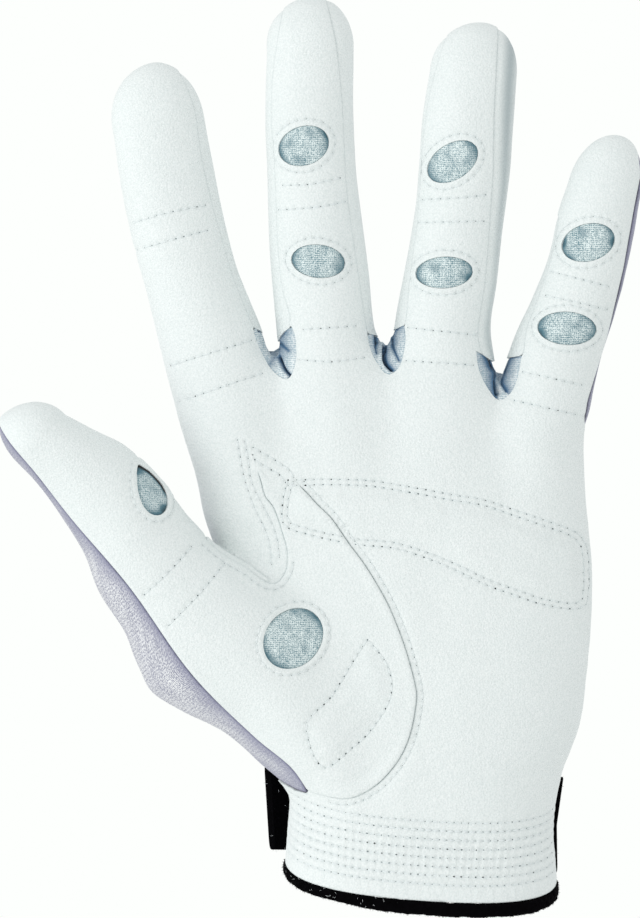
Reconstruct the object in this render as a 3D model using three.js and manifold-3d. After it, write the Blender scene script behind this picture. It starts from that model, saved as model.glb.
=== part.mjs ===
// A sports glove for the left hand, filled out as it is when worn: a white leather palm with its finger fronts
// in one piece, a set-in leather thumb, a stretch-knit back, leather side strips and knit webs between the
// fingers, eight oval knit windows, a gathered cuff, a bound wrist opening and a hook-and-loop wrist strap.
//
// Frame: millimetres, +Z from the wrist to the fingertips, -Y is the palm side, +X towards the little finger.
// The origin is the middle of the wrist opening. Every panel is cut out of one hollow hand-shaped shell.

import * as THREE from "three";
import { mergeVertices } from "three/addons/utils/BufferGeometryUtils.js";
import Module from "manifold-3d";

const wasm = await Module();
wasm.setup();

// Driving dimensions
const WALL = 1.7; // leather and knit walls
const SEAM_GAP = 0.3; // slit between two neighbouring panels
const KNIT_INSET = 0.35; // knit windows and webs lie this far under the leather's face
const PAD_RISE = 0.8; // foam pads lift the leather by this much
const BINDING_HEIGHT = 3.5; // black binding round the wrist opening
const BINDING_SWELL = 0.8; // how far the binding stands out from the leather, inside and outside
const STRAP_THICKNESS = 2.2;
const STRAP_CLEARANCE = 0.3;
const CUFF = { rows: 8, pitch: 2.1, bottom: 3.4, depth: 0.35 }; // elastic stitch rows that gather the cuff
const HEM = { back_height: 2.1, side_slope: -0.07, dip_slope: 0.29, softness: 5 }; // edge at the wrist
const FAR = 140; // half the depth of a cutting prism

// How finely skins are drawn: corners of a finger's and the palm's sections, the step between a finger's
// sections, and where the rings of a rounded end lie, in degrees.
const OUTSIDE = { finger: 12, palm: 24, step: 14, ends: [28, 54, 76] };
const INSIDE = { finger: 8, palm: 14, step: 22, ends: [40, 72] };

// Fingers and thumb. base is the root in the front view, lean the tilt from +Z towards +X in degrees, tip the
// length of the rounded end past the last row and how far its point sits to the side. In a row, along runs
// from the root to the tip, shift moves the middle sideways, depth is its Y, and wide and deep are the
// section's half axes.
const row = (along, shift, depth, wide, deep) => ({ along, shift, depth, wide, deep });
const LIMBS = {
  index: {
    base: { x: -46, z: 104 },
    lean: -12.5,
    tip: { length: 14.1, shift: 1.2 },
    rows: [
      row(-16, 3.5, -0.6, 8.5, 11.0),
      row(0, 1.5, -0.8, 12.3, 12.2),
      row(16, 1.7, -1.4, 12.9, 11.2),
      row(28, 0.6, -2.2, 12.1, 10.3),
      row(40, -0.7, -3.2, 11.4, 9.9),
      row(52, -1.3, -4.6, 11.5, 9.5),
      row(64, -1.1, -6.4, 11.5, 9.0),
      row(78, -0.3, -8.8, 11.2, 8.3),
    ],
  },
  middle: {
    base: { x: -19, z: 104 },
    lean: -4.5,
    tip: { length: 11.6, shift: 1.2 },
    rows: [
      row(-16, 0.5, -0.6, 10.0, 11.2),
      row(0, -0.8, -0.8, 12.0, 12.4),
      row(16, -1.6, -1.4, 12.0, 11.3),
      row(28, -2.1, -2.0, 11.7, 10.7),
      row(40, -2.3, -2.8, 11.7, 10.3),
      row(52, -2.5, -3.8, 11.3, 10.0),
      row(64, -2.4, -5.0, 10.7, 9.6),
      row(78, -1.9, -6.8, 10.6, 9.1),
      row(94.5, -0.4, -9.6, 10.4, 8.4),
    ],
  },
  ring: {
    base: { x: 5, z: 104 },
    lean: 5.5,
    tip: { length: 12.2, shift: 1.4 },
    rows: [
      row(-16, -1.0, -0.6, 10.0, 11.2),
      row(0, -1.4, -0.8, 12.0, 12.2),
      row(16, -1.7, -1.4, 13.0, 11.0),
      row(28, -2.9, -2.0, 11.7, 10.4),
      row(40, -2.2, -2.8, 11.4, 10.0),
      row(52, -1.7, -3.8, 11.0, 9.7),
      row(64, -1.5, -5.2, 11.2, 9.4),
      row(76, -1.8, -6.9, 11.3, 9.0),
      row(88, -1.7, -8.8, 10.7, 8.3),
    ],
  },
  little: {
    base: { x: 28, z: 104 },
    lean: 14,
    tip: { length: 13.5, shift: 0.6 },
    rows: [
      row(-16, 2.4, -0.4, 11.0, 10.4),
      row(0, -0.5, -0.6, 11.2, 11.4),
      row(10, -1.2, -1.0, 11.4, 10.4),
      row(22, -1.1, -1.6, 10.9, 9.6),
      row(33, 0.2, -2.4, 10.2, 9.0),
      row(43, 0.9, -3.3, 9.7, 8.6),
      row(53, 0.6, -4.5, 9.6, 8.1),
      row(62, 0.5, -5.8, 8.9, 7.5),
    ],
  },
  thumb: {
    base: { x: -30, z: 34 },
    lean: -42.85,
    tip: { length: 9.8, shift: -3.0 },
    rows: [
      row(-26, 0.0, -3.0, 7.0, 16.0),
      row(-12, 1.5, -4.6, 11.5, 17.0),
      row(0, 3.2, -6.0, 14.4, 17.2),
      row(12, 4.2, -7.4, 16.6, 17.0),
      row(22, 3.0, -8.6, 19.0, 16.6),
      row(31, 1.4, -9.7, 19.9, 15.9),
      row(38, 1.3, -10.8, 17.9, 15.0),
      row(46, 1.7, -12.0, 15.2, 13.8),
      row(56, 2.5, -13.6, 14.1, 12.4),
      row(66, 5.1, -15.4, 12.8, 11.4),
      row(78, 6.0, -17.8, 11.2, 10.2),
      row(86, 5.2, -19.7, 9.5, 9.4),
      row(93, 4.1, -21.4, 8.4, 8.6),
    ],
  },
};

// The hand between the wrist and the finger roots: level sections with their left, right, palm-side and
// back edges. The last row is where the top starts to round over, falling off to both sides as a bell does.
const section = (height, left, right, front, back) => ({ height, left, right, front, back });
const PALM = {
  fullness: 2.5, // exponent of the superellipse sections
  top_round: 16.5,
  top_fall: { middle: -25, width: 53, depth: 14, from: 84 },
  rows: [
    section(-16, -33.0, 32.4, -21.5, 20.5),
    section(0, -33.0, 32.2, -21.5, 20.5),
    section(11, -32.3, 31.5, -21.2, 20.3),
    section(20, -31.8, 32.3, -21.6, 20.2),
    section(26, -33.0, 33.8, -22.0, 19.9),
    section(32, -36.0, 36.3, -22.0, 19.4),
    section(38, -38.5, 38.1, -21.6, 18.6),
    section(48, -41.0, 39.3, -20.6, 17.6),
    section(58, -43.5, 40.2, -19.2, 16.8),
    section(68, -46.0, 40.8, -17.8, 16.2),
    section(78, -49.5, 40.5, -16.6, 15.4),
    section(90, -53.4, 38.7, -15.2, 14.4),
    section(112, -53.0, 37.5, -12.0, 11.4),
  ],
};

// Where the leather of the front meets the knit of the back: the Y of the side seam over height, and on the
// thumb over the length of the thumb.
const SIDE_SEAM = [
  { at: -30, y: 0 },
  { at: 60, y: 0 },
  { at: 104, y: 0.5 },
  { at: 140, y: -1.5 },
  { at: 175, y: -4.5 },
  { at: 225, y: -11 },
];
const THUMB_SIDE_SEAM = [
  { at: -30, y: 0 },
  { at: 24, y: -2 },
  { at: 56, y: -9.6 },
  { at: 78, y: -15 },
  { at: 125, y: -25 },
];

// Side strips of the fingers, from the web to the tip. In a seam row, along is the place along the finger
// and share the part of the half width that lies inside the strip's seam.
const seam = (along, share) => ({ along, share });
const SIDE_STRIPS = [
  {
    name: "side_strip_index",
    finger: "index",
    side: 1,
    rows: [seam(26.2, 0.87), seam(45, 0.87), seam(66, 0.8), seam(80, 0.83), seam(92, 0.62)],
  },
  {
    name: "side_strip_middle_left",
    finger: "middle",
    side: -1,
    rows: [seam(28.8, 0.7), seam(38, 0.81), seam(60, 0.83), seam(90, 0.84), seam(106, 0.5)],
  },
  {
    name: "side_strip_middle_right",
    finger: "middle",
    side: 1,
    rows: [seam(25.6, 0.85), seam(54, 0.75), seam(80, 0.75), seam(106, 0.44)],
  },
  {
    name: "side_strip_ring_left",
    finger: "ring",
    side: -1,
    rows: [seam(26.9, 0.8), seam(38, 0.88), seam(60, 0.9), seam(88, 0.88), seam(100, 0.6)],
  },
  {
    name: "side_strip_ring_right",
    finger: "ring",
    side: 1,
    rows: [seam(22.8, 0.72), seam(55, 0.63), seam(80, 0.53), seam(100, 0.46)],
  },
  {
    name: "side_strip_little",
    finger: "little",
    side: -1,
    rows: [seam(18.6, 0.71), seam(40, 0.8), seam(60, 0.84), seam(76, 0.6)],
  },
];

// Knit webs in the three crotches: a U in the front view from one finger to the next, x and z.
const WEBS = [
  {
    name: "web_index_middle",
    left: [[-40.6, 131.7], [-39.6, 128.1], [-37.3, 123.2], [-35.6, 120.8]],
    bottom: [[-33, 119]],
    right: [[-31.6, 119.6], [-30.3, 123.5], [-30.4, 129], [-31.3, 131.6]],
  },
  {
    name: "web_middle_ring",
    left: [[-13.1, 130], [-12.4, 126.4], [-10.6, 122.6]],
    bottom: [[-8.2, 120.1]],
    right: [[-5.6, 121.8], [-4.3, 126], [-4, 129.4], [-4.4, 132]],
  },
  {
    name: "web_ring_little",
    left: [[13, 125.8], [13.7, 121.3], [15.6, 117.2]],
    bottom: [[18.4, 114]],
    right: [[20.8, 115.2], [22.6, 118.4], [23.9, 124.7]],
  },
];

// Oval knit windows: centre in the front view, half axes, the tilt of the long axis in degrees, and the Y that
// the opening is cut back to.
const WINDOWS = [
  { name: "window_middle_upper", x: -28.4, z: 175.0, long: 6.3, short: 4.7, tilt: 18, back: -4 },
  { name: "window_middle_lower", x: -24.9, z: 147.3, long: 6.6, short: 4.0, tilt: -6, back: -4 },
  { name: "window_ring_upper", x: 7.3, z: 171.2, long: 6.8, short: 4.3, tilt: 32, back: -4 },
  { name: "window_ring_lower", x: 5.3, z: 144.6, long: 7.0, short: 3.8, tilt: 3, back: -4 },
  { name: "window_little_upper", x: 39.9, z: 151.8, long: 6.6, short: 4.5, tilt: 14, back: -4 },
  { name: "window_little_lower", x: 34.8, z: 131.2, long: 7.2, short: 4.0, tilt: -4, back: -4 },
  { name: "window_thumb", x: -65.2, z: 92.6, long: 7.0, short: 3.3, tilt: -62, back: -14 },
  { name: "window_thenar", x: -30.9, z: 56.8, long: 7.9, short: 6.6, tilt: 48, back: -4 },
];

// Seams of the set-in thumb in the front view, each a smooth curve through its points, x and z.
const THUMB_KNIT_SEAM = [
  [-103, 111], [-99.6, 104.6], [-92.7, 96.3], [-84.2, 85.4], [-70.3, 69.1], [-55.2, 48], [-40.1, 32.9],
  [-31.4, 25.7], [-27.6, 20.3],
];
const THENAR_SEAM = [
  [-27.6, 20.3], [-19.2, 18.2], [-10.1, 22.3], [-2.9, 33.6], [-1.3, 43.2], [-6.1, 60.1], [-14.4, 75.4],
  [-25.2, 89], [-34.6, 97], [-40.8, 100.1],
];
const TONGUE_SEAM = [
  [-40.8, 100.1], [-37.7, 91], [-33.6, 82.4], [-32.4, 76.3], [-34.6, 70.3], [-39.1, 71.5], [-46.1, 76.1],
  [-51.6, 80.4],
];
const THUMB_OUTSIDE = [[-53.4, 85], [-58.1, 92.4], [-65.3, 104.4], [-77.3, 116], [-96.5, 120], [-110, 120]];
const THUMB_BACK_SEAM = [[-51.6, 80.4], [-47.5, 66], [-42, 50], [-36, 38], [-30, 27]];
const THUMB_BACK_OUTSIDE = [[-27.6, 20.3], [-34.6, 20.6], [-60, 18], [-120, 60], [-120, 124]];

// Outlines of the foam pads under the leather, x and z.
const PALM_PAD = [
  [-33, 94.6], [-12, 94.6], [7.7, 91.2], [22.3, 87.6], [37.6, 82], [39.4, 75], [39.6, 68], [38, 64.3],
  [22.3, 67.2], [0.5, 76.3], [-14, 79.2], [-20.5, 80.6], [-27.5, 89], [-33, 91.6],
];
const THENAR_PAD = [
  [-13.1, 56.5], [-7.6, 48], [-8, 41.5], [-13.4, 33.4], [-23.3, 25.5], [-27.6, 34.5], [-21.6, 43],
];

// Wrist strap in the front view: corners from the free end on the left to the sewn end on the right.
const STRAP = { free_end: -37.8, front_view: [[-37.8, 26.2], [-36.5, 6.1], [36, -0.5], [36, 23]] };

// Colours, from the photograph
const LEATHER = new THREE.MeshStandardMaterial({ color: 0xe6eeee, roughness: 0.55, metalness: 0 });
const KNIT = new THREE.MeshStandardMaterial({ color: 0xb4b7c6, roughness: 0.85, metalness: 0 });
const WEB_KNIT = new THREE.MeshStandardMaterial({ color: 0x9db0bf, roughness: 0.8, metalness: 0 });
const WINDOW_KNIT = new THREE.MeshStandardMaterial({ color: 0xa9bdc2, roughness: 0.6, metalness: 0 });
const BLACK = new THREE.MeshStandardMaterial({ color: 0x0b0a0c, roughness: 0.95, metalness: 0 });

const degrees = THREE.MathUtils.degToRad;

// Value of one column at a place, by a cubic through the rows with slopes taken from the neighbours.
function smooth(rows, place, column, at) {
  const last = rows.length - 1;
  let i = 0;
  while (i < last - 1 && rows[i + 1][place] < at) i++;
  const slope = (k) => {
    const a = rows[Math.max(k - 1, 0)];
    const b = rows[Math.min(k + 1, last)];
    return (b[column] - a[column]) / (b[place] - a[place]);
  };
  const span = rows[i + 1][place] - rows[i][place];
  const u = THREE.MathUtils.clamp((at - rows[i][place]) / span, 0, 1);
  const u2 = u * u;
  const u3 = u2 * u;
  return (
    (2 * u3 - 3 * u2 + 1) * rows[i][column] +
    (u3 - 2 * u2 + u) * span * slope(i) +
    (3 * u2 - 2 * u3) * rows[i + 1][column] +
    (u3 - u2) * span * slope(i + 1)
  );
}

// A geometry as a solid that can be joined and cut.
function solidOf(geometry) {
  const bare = new THREE.BufferGeometry().setAttribute("position", geometry.getAttribute("position"));
  if (geometry.index) bare.setIndex(geometry.index);
  const merged = mergeVertices(bare, 1e-4);
  return new wasm.Manifold(
    new wasm.Mesh({
      numProp: 3,
      vertProperties: merged.attributes.position.array,
      triVerts: new Uint32Array(merged.index.array),
    }),
  );
}

// Closed skin through rings of equal point counts, with a pole point below the first and above the last.
function loft(rings, bottom, top) {
  const count = rings[0].length;
  const points = [...rings.flat(), bottom, top];
  const faces = [];
  for (let r = 0; r < rings.length - 1; r++) {
    for (let k = 0; k < count; k++) {
      const a = r * count + k;
      const b = r * count + ((k + 1) % count);
      faces.push(a, b, b + count, a, b + count, a + count);
    }
  }
  const lastRing = (rings.length - 1) * count;
  for (let k = 0; k < count; k++) {
    const next = (k + 1) % count;
    faces.push(rings.length * count, next, k);
    faces.push(rings.length * count + 1, lastRing + k, lastRing + next);
  }
  return new THREE.BufferGeometry().setFromPoints(points).setIndex(faces);
}

// Axes of a finger in the front view: along towards the tip, across towards the right.
function limbFrame(limb) {
  const lean = degrees(limb.lean);
  const along = new THREE.Vector3(Math.sin(lean), 0, Math.cos(lean));
  const across = new THREE.Vector3(Math.cos(lean), 0, -Math.sin(lean));
  return { along, across, root: new THREE.Vector3(limb.base.x, 0, limb.base.z) };
}

function limbPoint(limb, along, across, depth) {
  const frame = limbFrame(limb);
  const middle = frame.root.clone().addScaledVector(frame.along, along);
  return middle.addScaledVector(frame.across, across).setY(depth);
}

// One finger: elliptical rings through its rows, and a rounded tip whose rings shrink by the circle's rule.
function limbSolid(limb, grow, detail) {
  const start = limb.rows[0].along;
  const end = limb.rows.at(-1).along;
  const value = (column, at) => smooth(limb.rows, "along", column, at);
  const ring = (at, scale, forward) =>
    Array.from({ length: detail.finger }, (_, k) => {
      const turn = (2 * Math.PI * k) / detail.finger;
      const middle = value("shift", at) + limb.tip.shift * (1 - scale);
      return limbPoint(
        limb,
        at + forward,
        middle + (value("wide", at) + grow) * scale * Math.cos(turn),
        value("depth", at) + (value("deep", at) + grow) * scale * Math.sin(turn),
      );
    });
  const steps = Math.round((end - start) / detail.step);
  const rings = [];
  for (let i = 0; i <= steps; i++) rings.push(ring(start + ((end - start) * i) / steps, 1, 0));
  for (const angle of detail.ends) {
    rings.push(ring(end, Math.cos(degrees(angle)), (limb.tip.length + grow) * Math.sin(degrees(angle))));
  }
  const bottom = limbPoint(limb, start, value("shift", start), value("depth", start));
  const point = value("shift", end) + limb.tip.shift;
  const top = limbPoint(limb, end + limb.tip.length + grow, point, value("depth", end));
  return solidOf(loft(rings, bottom, top));
}

// Height of the leather's edge at the wrist for x = 0: level at the back, dipping softly on the palm side.
const rimDip = (y) => HEM.back_height - HEM.dip_slope * 0.5 * (Math.sqrt(y * y + HEM.softness ** 2) - y);

// The hand's body: superelliptical sections, wavy over the gathered cuff, with a rounded and falling top.
function palmSolid(grow, detail, waves) {
  const value = (column, at) => smooth(PALM.rows, "height", column, at);
  const bottom = PALM.rows[0].height;
  const top = PALM.rows.at(-1).height;
  const bend = (v) => Math.sign(v) * Math.abs(v) ** (2 / PALM.fullness);
  const fall = (x, height) => {
    const share = THREE.MathUtils.clamp((height - PALM.top_fall.from) / (top - PALM.top_fall.from), 0, 1);
    const bell = Math.exp(-(((x - PALM.top_fall.middle) / PALM.top_fall.width) ** 2));
    return PALM.top_fall.depth * (1 - bell) * share ** 2;
  };
  const ring = (height, scale, lift) =>
    Array.from({ length: detail.palm }, (_, k) => {
      const turn = (2 * Math.PI * k) / detail.palm;
      const wide = (value("right", height) - value("left", height)) / 2 + grow;
      const deep = (value("back", height) - value("front", height)) / 2 + grow;
      const x = (value("right", height) + value("left", height)) / 2 + wide * scale * bend(Math.cos(turn));
      const y = (value("back", height) + value("front", height)) / 2 + deep * scale * bend(Math.sin(turn));
      return new THREE.Vector3(x, y, height + lift - fall(x, height));
    });
  const cuffTop = CUFF.bottom + CUFF.rows * CUFF.pitch;
  const rings = [ring(bottom, 1, 0)];
  if (waves) {
    for (let i = 0; i <= 2 * CUFF.rows; i++) {
      rings.push(ring(CUFF.bottom + (i * CUFF.pitch) / 2, i % 2 ? 1 - CUFF.depth / 27 : 1, 0));
    }
  } else rings.push(ring(CUFF.bottom, 1, 0), ring(cuffTop, 1, 0));
  for (const at of PALM.rows.filter((one) => one.height > cuffTop + 2)) rings.push(ring(at.height, 1, 0));
  for (const angle of detail.ends) {
    rings.push(ring(top, Math.cos(degrees(angle)), (PALM.top_round + grow) * Math.sin(degrees(angle))));
  }
  const middle = (value("left", top) + value("right", top)) / 2;
  const pole = new THREE.Vector3(middle, 0, top + PALM.top_round + grow - fall(middle, top));
  return solidOf(loft(rings, new THREE.Vector3(0, 0, bottom), pole));
}

// The whole hand, grown outwards by a distance.
function hand(grow, detail = OUTSIDE) {
  const limbs = Object.values(LIMBS).map((limb) => limbSolid(limb, grow, detail));
  return limbs.reduce((all, limb) => all.add(limb), palmSolid(grow, detail, false));
}

// A flat outline moved outwards by a distance, each corner along the mean of its two edges' normals.
function grownOutline(points, distance) {
  const turned = THREE.ShapeUtils.isClockWise(points) ? [...points].reverse() : points;
  return turned.map((point, i) => {
    const before = turned.at(i - 1);
    const after = turned[(i + 1) % turned.length];
    const along = after.clone().sub(before).normalize();
    return new THREE.Vector2(point.x + along.y * distance, point.y - along.x * distance);
  });
}

const flat = (pairs) => pairs.map(([x, z]) => new THREE.Vector2(x, z));
const curved = (pairs, count) => new THREE.SplineCurve(flat(pairs)).getPoints(count);

// A prism through the whole hand from an outline in the front view.
function frontPrism(points, grow, from = -FAR, to = FAR) {
  const shape = new THREE.Shape(grownOutline(points, grow));
  const geometry = new THREE.ExtrudeGeometry(shape, { depth: to - from, bevelEnabled: false, steps: 1 });
  return solidOf(geometry.rotateX(Math.PI / 2).translate(0, to, 0));
}

// A prism along X from an outline in the side view, given as Y and Z.
function sidePrism(points) {
  const options = { depth: 2 * FAR, bevelEnabled: false, steps: 1 };
  const geometry = new THREE.ExtrudeGeometry(new THREE.Shape(points), options);
  const toFrame = new THREE.Matrix4().makeBasis(
    new THREE.Vector3(0, 1, 0),
    new THREE.Vector3(0, 0, 1),
    new THREE.Vector3(1, 0, 0),
  );
  return geometry.translate(0, 0, -FAR).applyMatrix4(toFrame);
}

// Everything on the palm side of a seam line that is given as Y over a distance along a leaning axis.
function palmSide(table, base, lean, grow) {
  const line = table.map(({ at, y }) => new THREE.Vector2(y + grow, at));
  const low = new THREE.Vector2(-FAR, table[0].at);
  const high = new THREE.Vector2(-FAR, table.at(-1).at);
  return solidOf(sidePrism([low, ...line, high]).rotateY(degrees(lean)).translate(base.x, 0, base.z));
}

// Everything below the wrist rim, lowered by a distance.
function belowRim(drop) {
  const line = Array.from({ length: 13 }, (_, i) => {
    const y = -48 + 8 * i;
    return new THREE.Vector2(y, rimDip(y) - drop);
  });
  const prism = sidePrism([new THREE.Vector2(-48, -FAR), ...line, new THREE.Vector2(48, -FAR)]);
  return solidOf(prism.rotateY(-Math.atan(HEM.side_slope)));
}

function ellipseOutline({ x, z, long, short, tilt }) {
  const oval = new THREE.EllipseCurve(x, z, long, short, 0, 2 * Math.PI, false, degrees(tilt));
  return oval.getPoints(14).slice(1);
}

// What the elastic stitch rows pull out of the cuff's face: the waves between them, on the palm side.
function cuffGathers() {
  const top = CUFF.bottom + CUFF.rows * CUFF.pitch;
  const box = flat([[-60, CUFF.bottom], [60, CUFF.bottom], [60, top], [-60, top]]);
  const outside = palmSolid(WALL, OUTSIDE, false).subtract(palmSolid(0, OUTSIDE, true));
  return outside.intersect(frontPrism(box, 0, -FAR, 2));
}

// Outline of a side strip: its seam inside the finger's edge, and a line just outside the finger.
function stripOutline({ finger, side, rows }) {
  const limb = LIMBS[finger];
  const end = limb.rows.at(-1).along;
  const start = rows[0].along;
  const last = rows.at(-1).along;
  const inner = [];
  const outer = [];
  const steps = 7;
  for (let i = 0; i <= steps; i++) {
    const at = start + ((last - start) * i) / steps;
    const shift = smooth(limb.rows, "along", "shift", Math.min(at, end));
    const half = smooth(limb.rows, "along", "wide", Math.min(at, end));
    const seamPoint = limbPoint(limb, at, shift + side * half * smooth(rows, "along", "share", at), 0);
    const rimPoint = limbPoint(limb, at, shift + side * (half + 1.4), 0);
    inner.push(new THREE.Vector2(seamPoint.x, seamPoint.z));
    outer.push(new THREE.Vector2(rimPoint.x, rimPoint.z));
  }
  const past = end + limb.tip.length + 3;
  const cap = limbPoint(limb, past, smooth(limb.rows, "along", "shift", end) + side * 2, 0);
  return [...inner, new THREE.Vector2(cap.x, cap.z), ...outer.reverse()];
}

const half = SEAM_GAP / 2;
const glove = new THREE.Group();

// Places one solid as a named mesh of the glove.
function place(name, solid, material) {
  const body = solid.decompose().sort((a, b) => b.volume() - a.volume())[0];
  const { numProp, numVert, vertProperties, triVerts } = body.getMesh();
  const points = Array.from(
    { length: numVert },
    (_, i) => new THREE.Vector3().fromArray(vertProperties, i * numProp),
  );
  const geometry = new THREE.BufferGeometry().setFromPoints(points).setIndex([...triVerts]);
  const mesh = new THREE.Mesh(geometry, material);
  mesh.name = name;
  glove.add(mesh);
}

// The hollow shell that every panel is cut from, and the thinner one of the knit parts
const hollow = hand(-WALL, INSIDE);
const openBottom = belowRim(0);
const shell = hand(0).subtract(hollow).subtract(openBottom);
const knitShell = hand(-KNIT_INSET).subtract(hollow).subtract(openBottom);
const front = (grow) => palmSide(SIDE_SEAM, { x: 0, z: 0 }, 0, grow);
const thumbFront = (grow) => palmSide(THUMB_SIDE_SEAM, LIMBS.thumb.base, LIMBS.thumb.lean, grow);

let rest = shell;

for (const web of WEBS) {
  const outline = curved([...web.left, ...web.bottom, ...web.right], 11);
  place(web.name, knitShell.intersect(frontPrism(outline, -half)), WEB_KNIT);
  rest = rest.subtract(frontPrism(outline, half));
}

for (const strip of SIDE_STRIPS) {
  const outline = stripOutline(strip);
  place(strip.name, rest.intersect(frontPrism(outline, -half)), LEATHER);
  rest = rest.subtract(frontPrism(outline, half));
}

// Set-in thumb: a leather front and a knit back
const thumbOutline = [
  ...curved(THUMB_KNIT_SEAM, 11),
  ...curved(THENAR_SEAM, 18).slice(1),
  ...curved(TONGUE_SEAM, 12).slice(1),
  ...flat(THUMB_OUTSIDE),
];
const thumbBackOutline = [
  ...flat(THUMB_BACK_OUTSIDE),
  ...flat([...THUMB_OUTSIDE].reverse()),
  ...curved(THUMB_BACK_SEAM, 10),
];
const thumbPanel = (grow) => frontPrism(thumbOutline, grow).intersect(thumbFront(grow));

const windowPrism = (oval, grow) => frontPrism(ellipseOutline(oval), grow, -FAR, oval.back);
const padded = (outline) =>
  hand(PAD_RISE).subtract(hand(-WALL / 2)).intersect(frontPrism(flat(outline), 0, -FAR, -3));

let thumbKnit = rest.intersect(frontPrism(thumbBackOutline, -half)).subtract(thumbPanel(half));
let thumbLeather = shell.intersect(thumbPanel(-half)).add(padded(THENAR_PAD).intersect(thumbPanel(-half)));
let palmLeather = rest
  .intersect(front(-half))
  .add(padded(PALM_PAD))
  .subtract(cuffGathers())
  .subtract(thumbPanel(half))
  .subtract(frontPrism(thumbBackOutline, half));
for (const oval of WINDOWS) {
  const seat = windowPrism(oval, half);
  place(oval.name, knitShell.intersect(windowPrism(oval, -half)), WINDOW_KNIT);
  thumbLeather = thumbLeather.subtract(seat);
  palmLeather = palmLeather.subtract(seat);
  thumbKnit = thumbKnit.subtract(seat);
}
place("palm_leather", palmLeather, LEATHER);
place("thumb_leather", thumbLeather, LEATHER);

place("thumb_knit", thumbKnit, KNIT);
const back = rest.subtract(front(half)).subtract(frontPrism(thumbBackOutline, half));
place("back_knit", back.subtract(thumbPanel(half)), KNIT);

// Binding round the wrist opening, just under the panels' cut edges
const binding = hand(BINDING_SWELL)
  .subtract(hand(-WALL - BINDING_SWELL))
  .intersect(belowRim(SEAM_GAP))
  .subtract(belowRim(SEAM_GAP + BINDING_HEIGHT));
place("hem_binding", binding, BLACK);

// Strap across the back of the wrist: a band that follows the wrist and leaves it straight at its free end
function strapSolid() {
  const wrist = PALM.rows[2];
  const path = (offset) => {
    const across = (wrist.right - wrist.left) / 2 + offset;
    const deep = (wrist.back - wrist.front) / 2 + offset;
    const middle = (wrist.back + wrist.front) / 2;
    const points = [];
    for (let turn = 24; turn <= 144; turn += 10) {
      const c = Math.cos(degrees(turn));
      const s = Math.sin(degrees(turn));
      points.push(
        new THREE.Vector2(
          across * Math.sign(c) * Math.abs(c) ** (2 / PALM.fullness),
          middle + deep * Math.sign(s) * Math.abs(s) ** (2 / PALM.fullness),
        ),
      );
    }
    const leaving = points.at(-1);
    points.push(new THREE.Vector2(STRAP.free_end, leaving.y - 3.2));
    return points;
  };
  const outline = [...path(STRAP_CLEARANCE), ...path(STRAP_CLEARANCE + STRAP_THICKNESS).reverse()];
  const options = { depth: 60, bevelEnabled: false, steps: 1 };
  const geometry = new THREE.ExtrudeGeometry(new THREE.Shape(outline), options);
  return solidOf(geometry.translate(0, 0, -25));
}
const strap = strapSolid()
  .intersect(frontPrism(flat(STRAP.front_view), 0))
  .subtract(hand(STRAP_CLEARANCE))
  .subtract(belowRim(-SEAM_GAP));
place("wrist_strap", strap, BLACK);

export default glove;
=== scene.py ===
import math

import bpy
import numpy as np
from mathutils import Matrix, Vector


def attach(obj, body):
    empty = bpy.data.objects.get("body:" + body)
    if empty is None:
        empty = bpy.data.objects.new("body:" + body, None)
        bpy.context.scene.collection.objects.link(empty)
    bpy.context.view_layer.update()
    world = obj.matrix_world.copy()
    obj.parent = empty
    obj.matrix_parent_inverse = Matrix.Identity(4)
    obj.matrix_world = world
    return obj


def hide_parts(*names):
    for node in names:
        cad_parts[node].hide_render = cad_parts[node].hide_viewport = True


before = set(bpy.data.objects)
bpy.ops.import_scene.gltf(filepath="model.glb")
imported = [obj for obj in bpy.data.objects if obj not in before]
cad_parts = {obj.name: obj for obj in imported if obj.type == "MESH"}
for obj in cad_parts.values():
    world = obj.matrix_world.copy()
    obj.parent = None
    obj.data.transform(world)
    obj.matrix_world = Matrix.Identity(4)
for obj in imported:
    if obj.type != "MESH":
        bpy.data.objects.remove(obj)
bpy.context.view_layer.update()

# A sports glove for the left hand, filled out as it is when worn. Lengths here are millimetres, and a mesh
# is turned to metres when it is made. +Z runs from the wrist to the fingertips and -Y is the palm side.

MM = 0.001
PER_MM = 1000  # a texture's scale for one spot a millimetre
chance = np.random.default_rng(11)

# Sizes of the glove's own parts
SKIN_STEP = 1.15  # spacing of the plain skin's points; it is halved once or twice near sewing
SLIT = 0.03  # half of the slit between two neighbouring panels
OVERLAP = 0.03  # how far the panels reach over each other where rows of sewing hold the tongue's tip flat
LEATHER_WALL = 1.25
KNIT_WALL = 1.1
KNIT_SUNK = 0.3  # the knit lies this far under the leather
PAD_RISE = 0.75
STITCH = 2.1  # one stitch of the flat seams
THREAD = 0.12  # half the thickness of the sewing thread
CUFF_THREAD = 0.17
EYE = {"x": -24.48, "away": 1150.0, "z": 99.84}  # where the photograph was taken from
HEM = {"back_height": 2.1, "side_slope": -0.07, "dip_slope": 0.29, "softness": 5.0}
CUFF_ROWS = (18.7, 16.6, 14.5, 12.4, 10.3, 8.2, 6.1, 4.0)  # elastic rows over the wrist's edge
CUFF_HOLES = (0.5, 0.7, 0.7, 0.65, 0.65, 0.6, 0.6, 0.5)  # how dark each row's needle holes look
CUFF_STITCH = 1.75
# The binding: its height and how much thinner it is on the left, half its thickness, how far its middle lies
# inside the wrist's edge, and how square its section is
BINDING = {"height": 3.35, "thinner": 0.7, "half": 1.5, "sunk": 1.05, "square": 0.7}
# The strap: its level, the turns it goes from and to behind the wrist, the X of its free end and how far
# that stands off, and how far its inner and outer faces lie over the wrist's section
STRAP = {"level": 11.0, "from": 18.5, "to": 144, "far": -35.95, "off": 3.0, "inner": 0.55, "outer": 2.3}
FINGER_JOIN = 5.0  # how softly the fingers run into the hand

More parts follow.
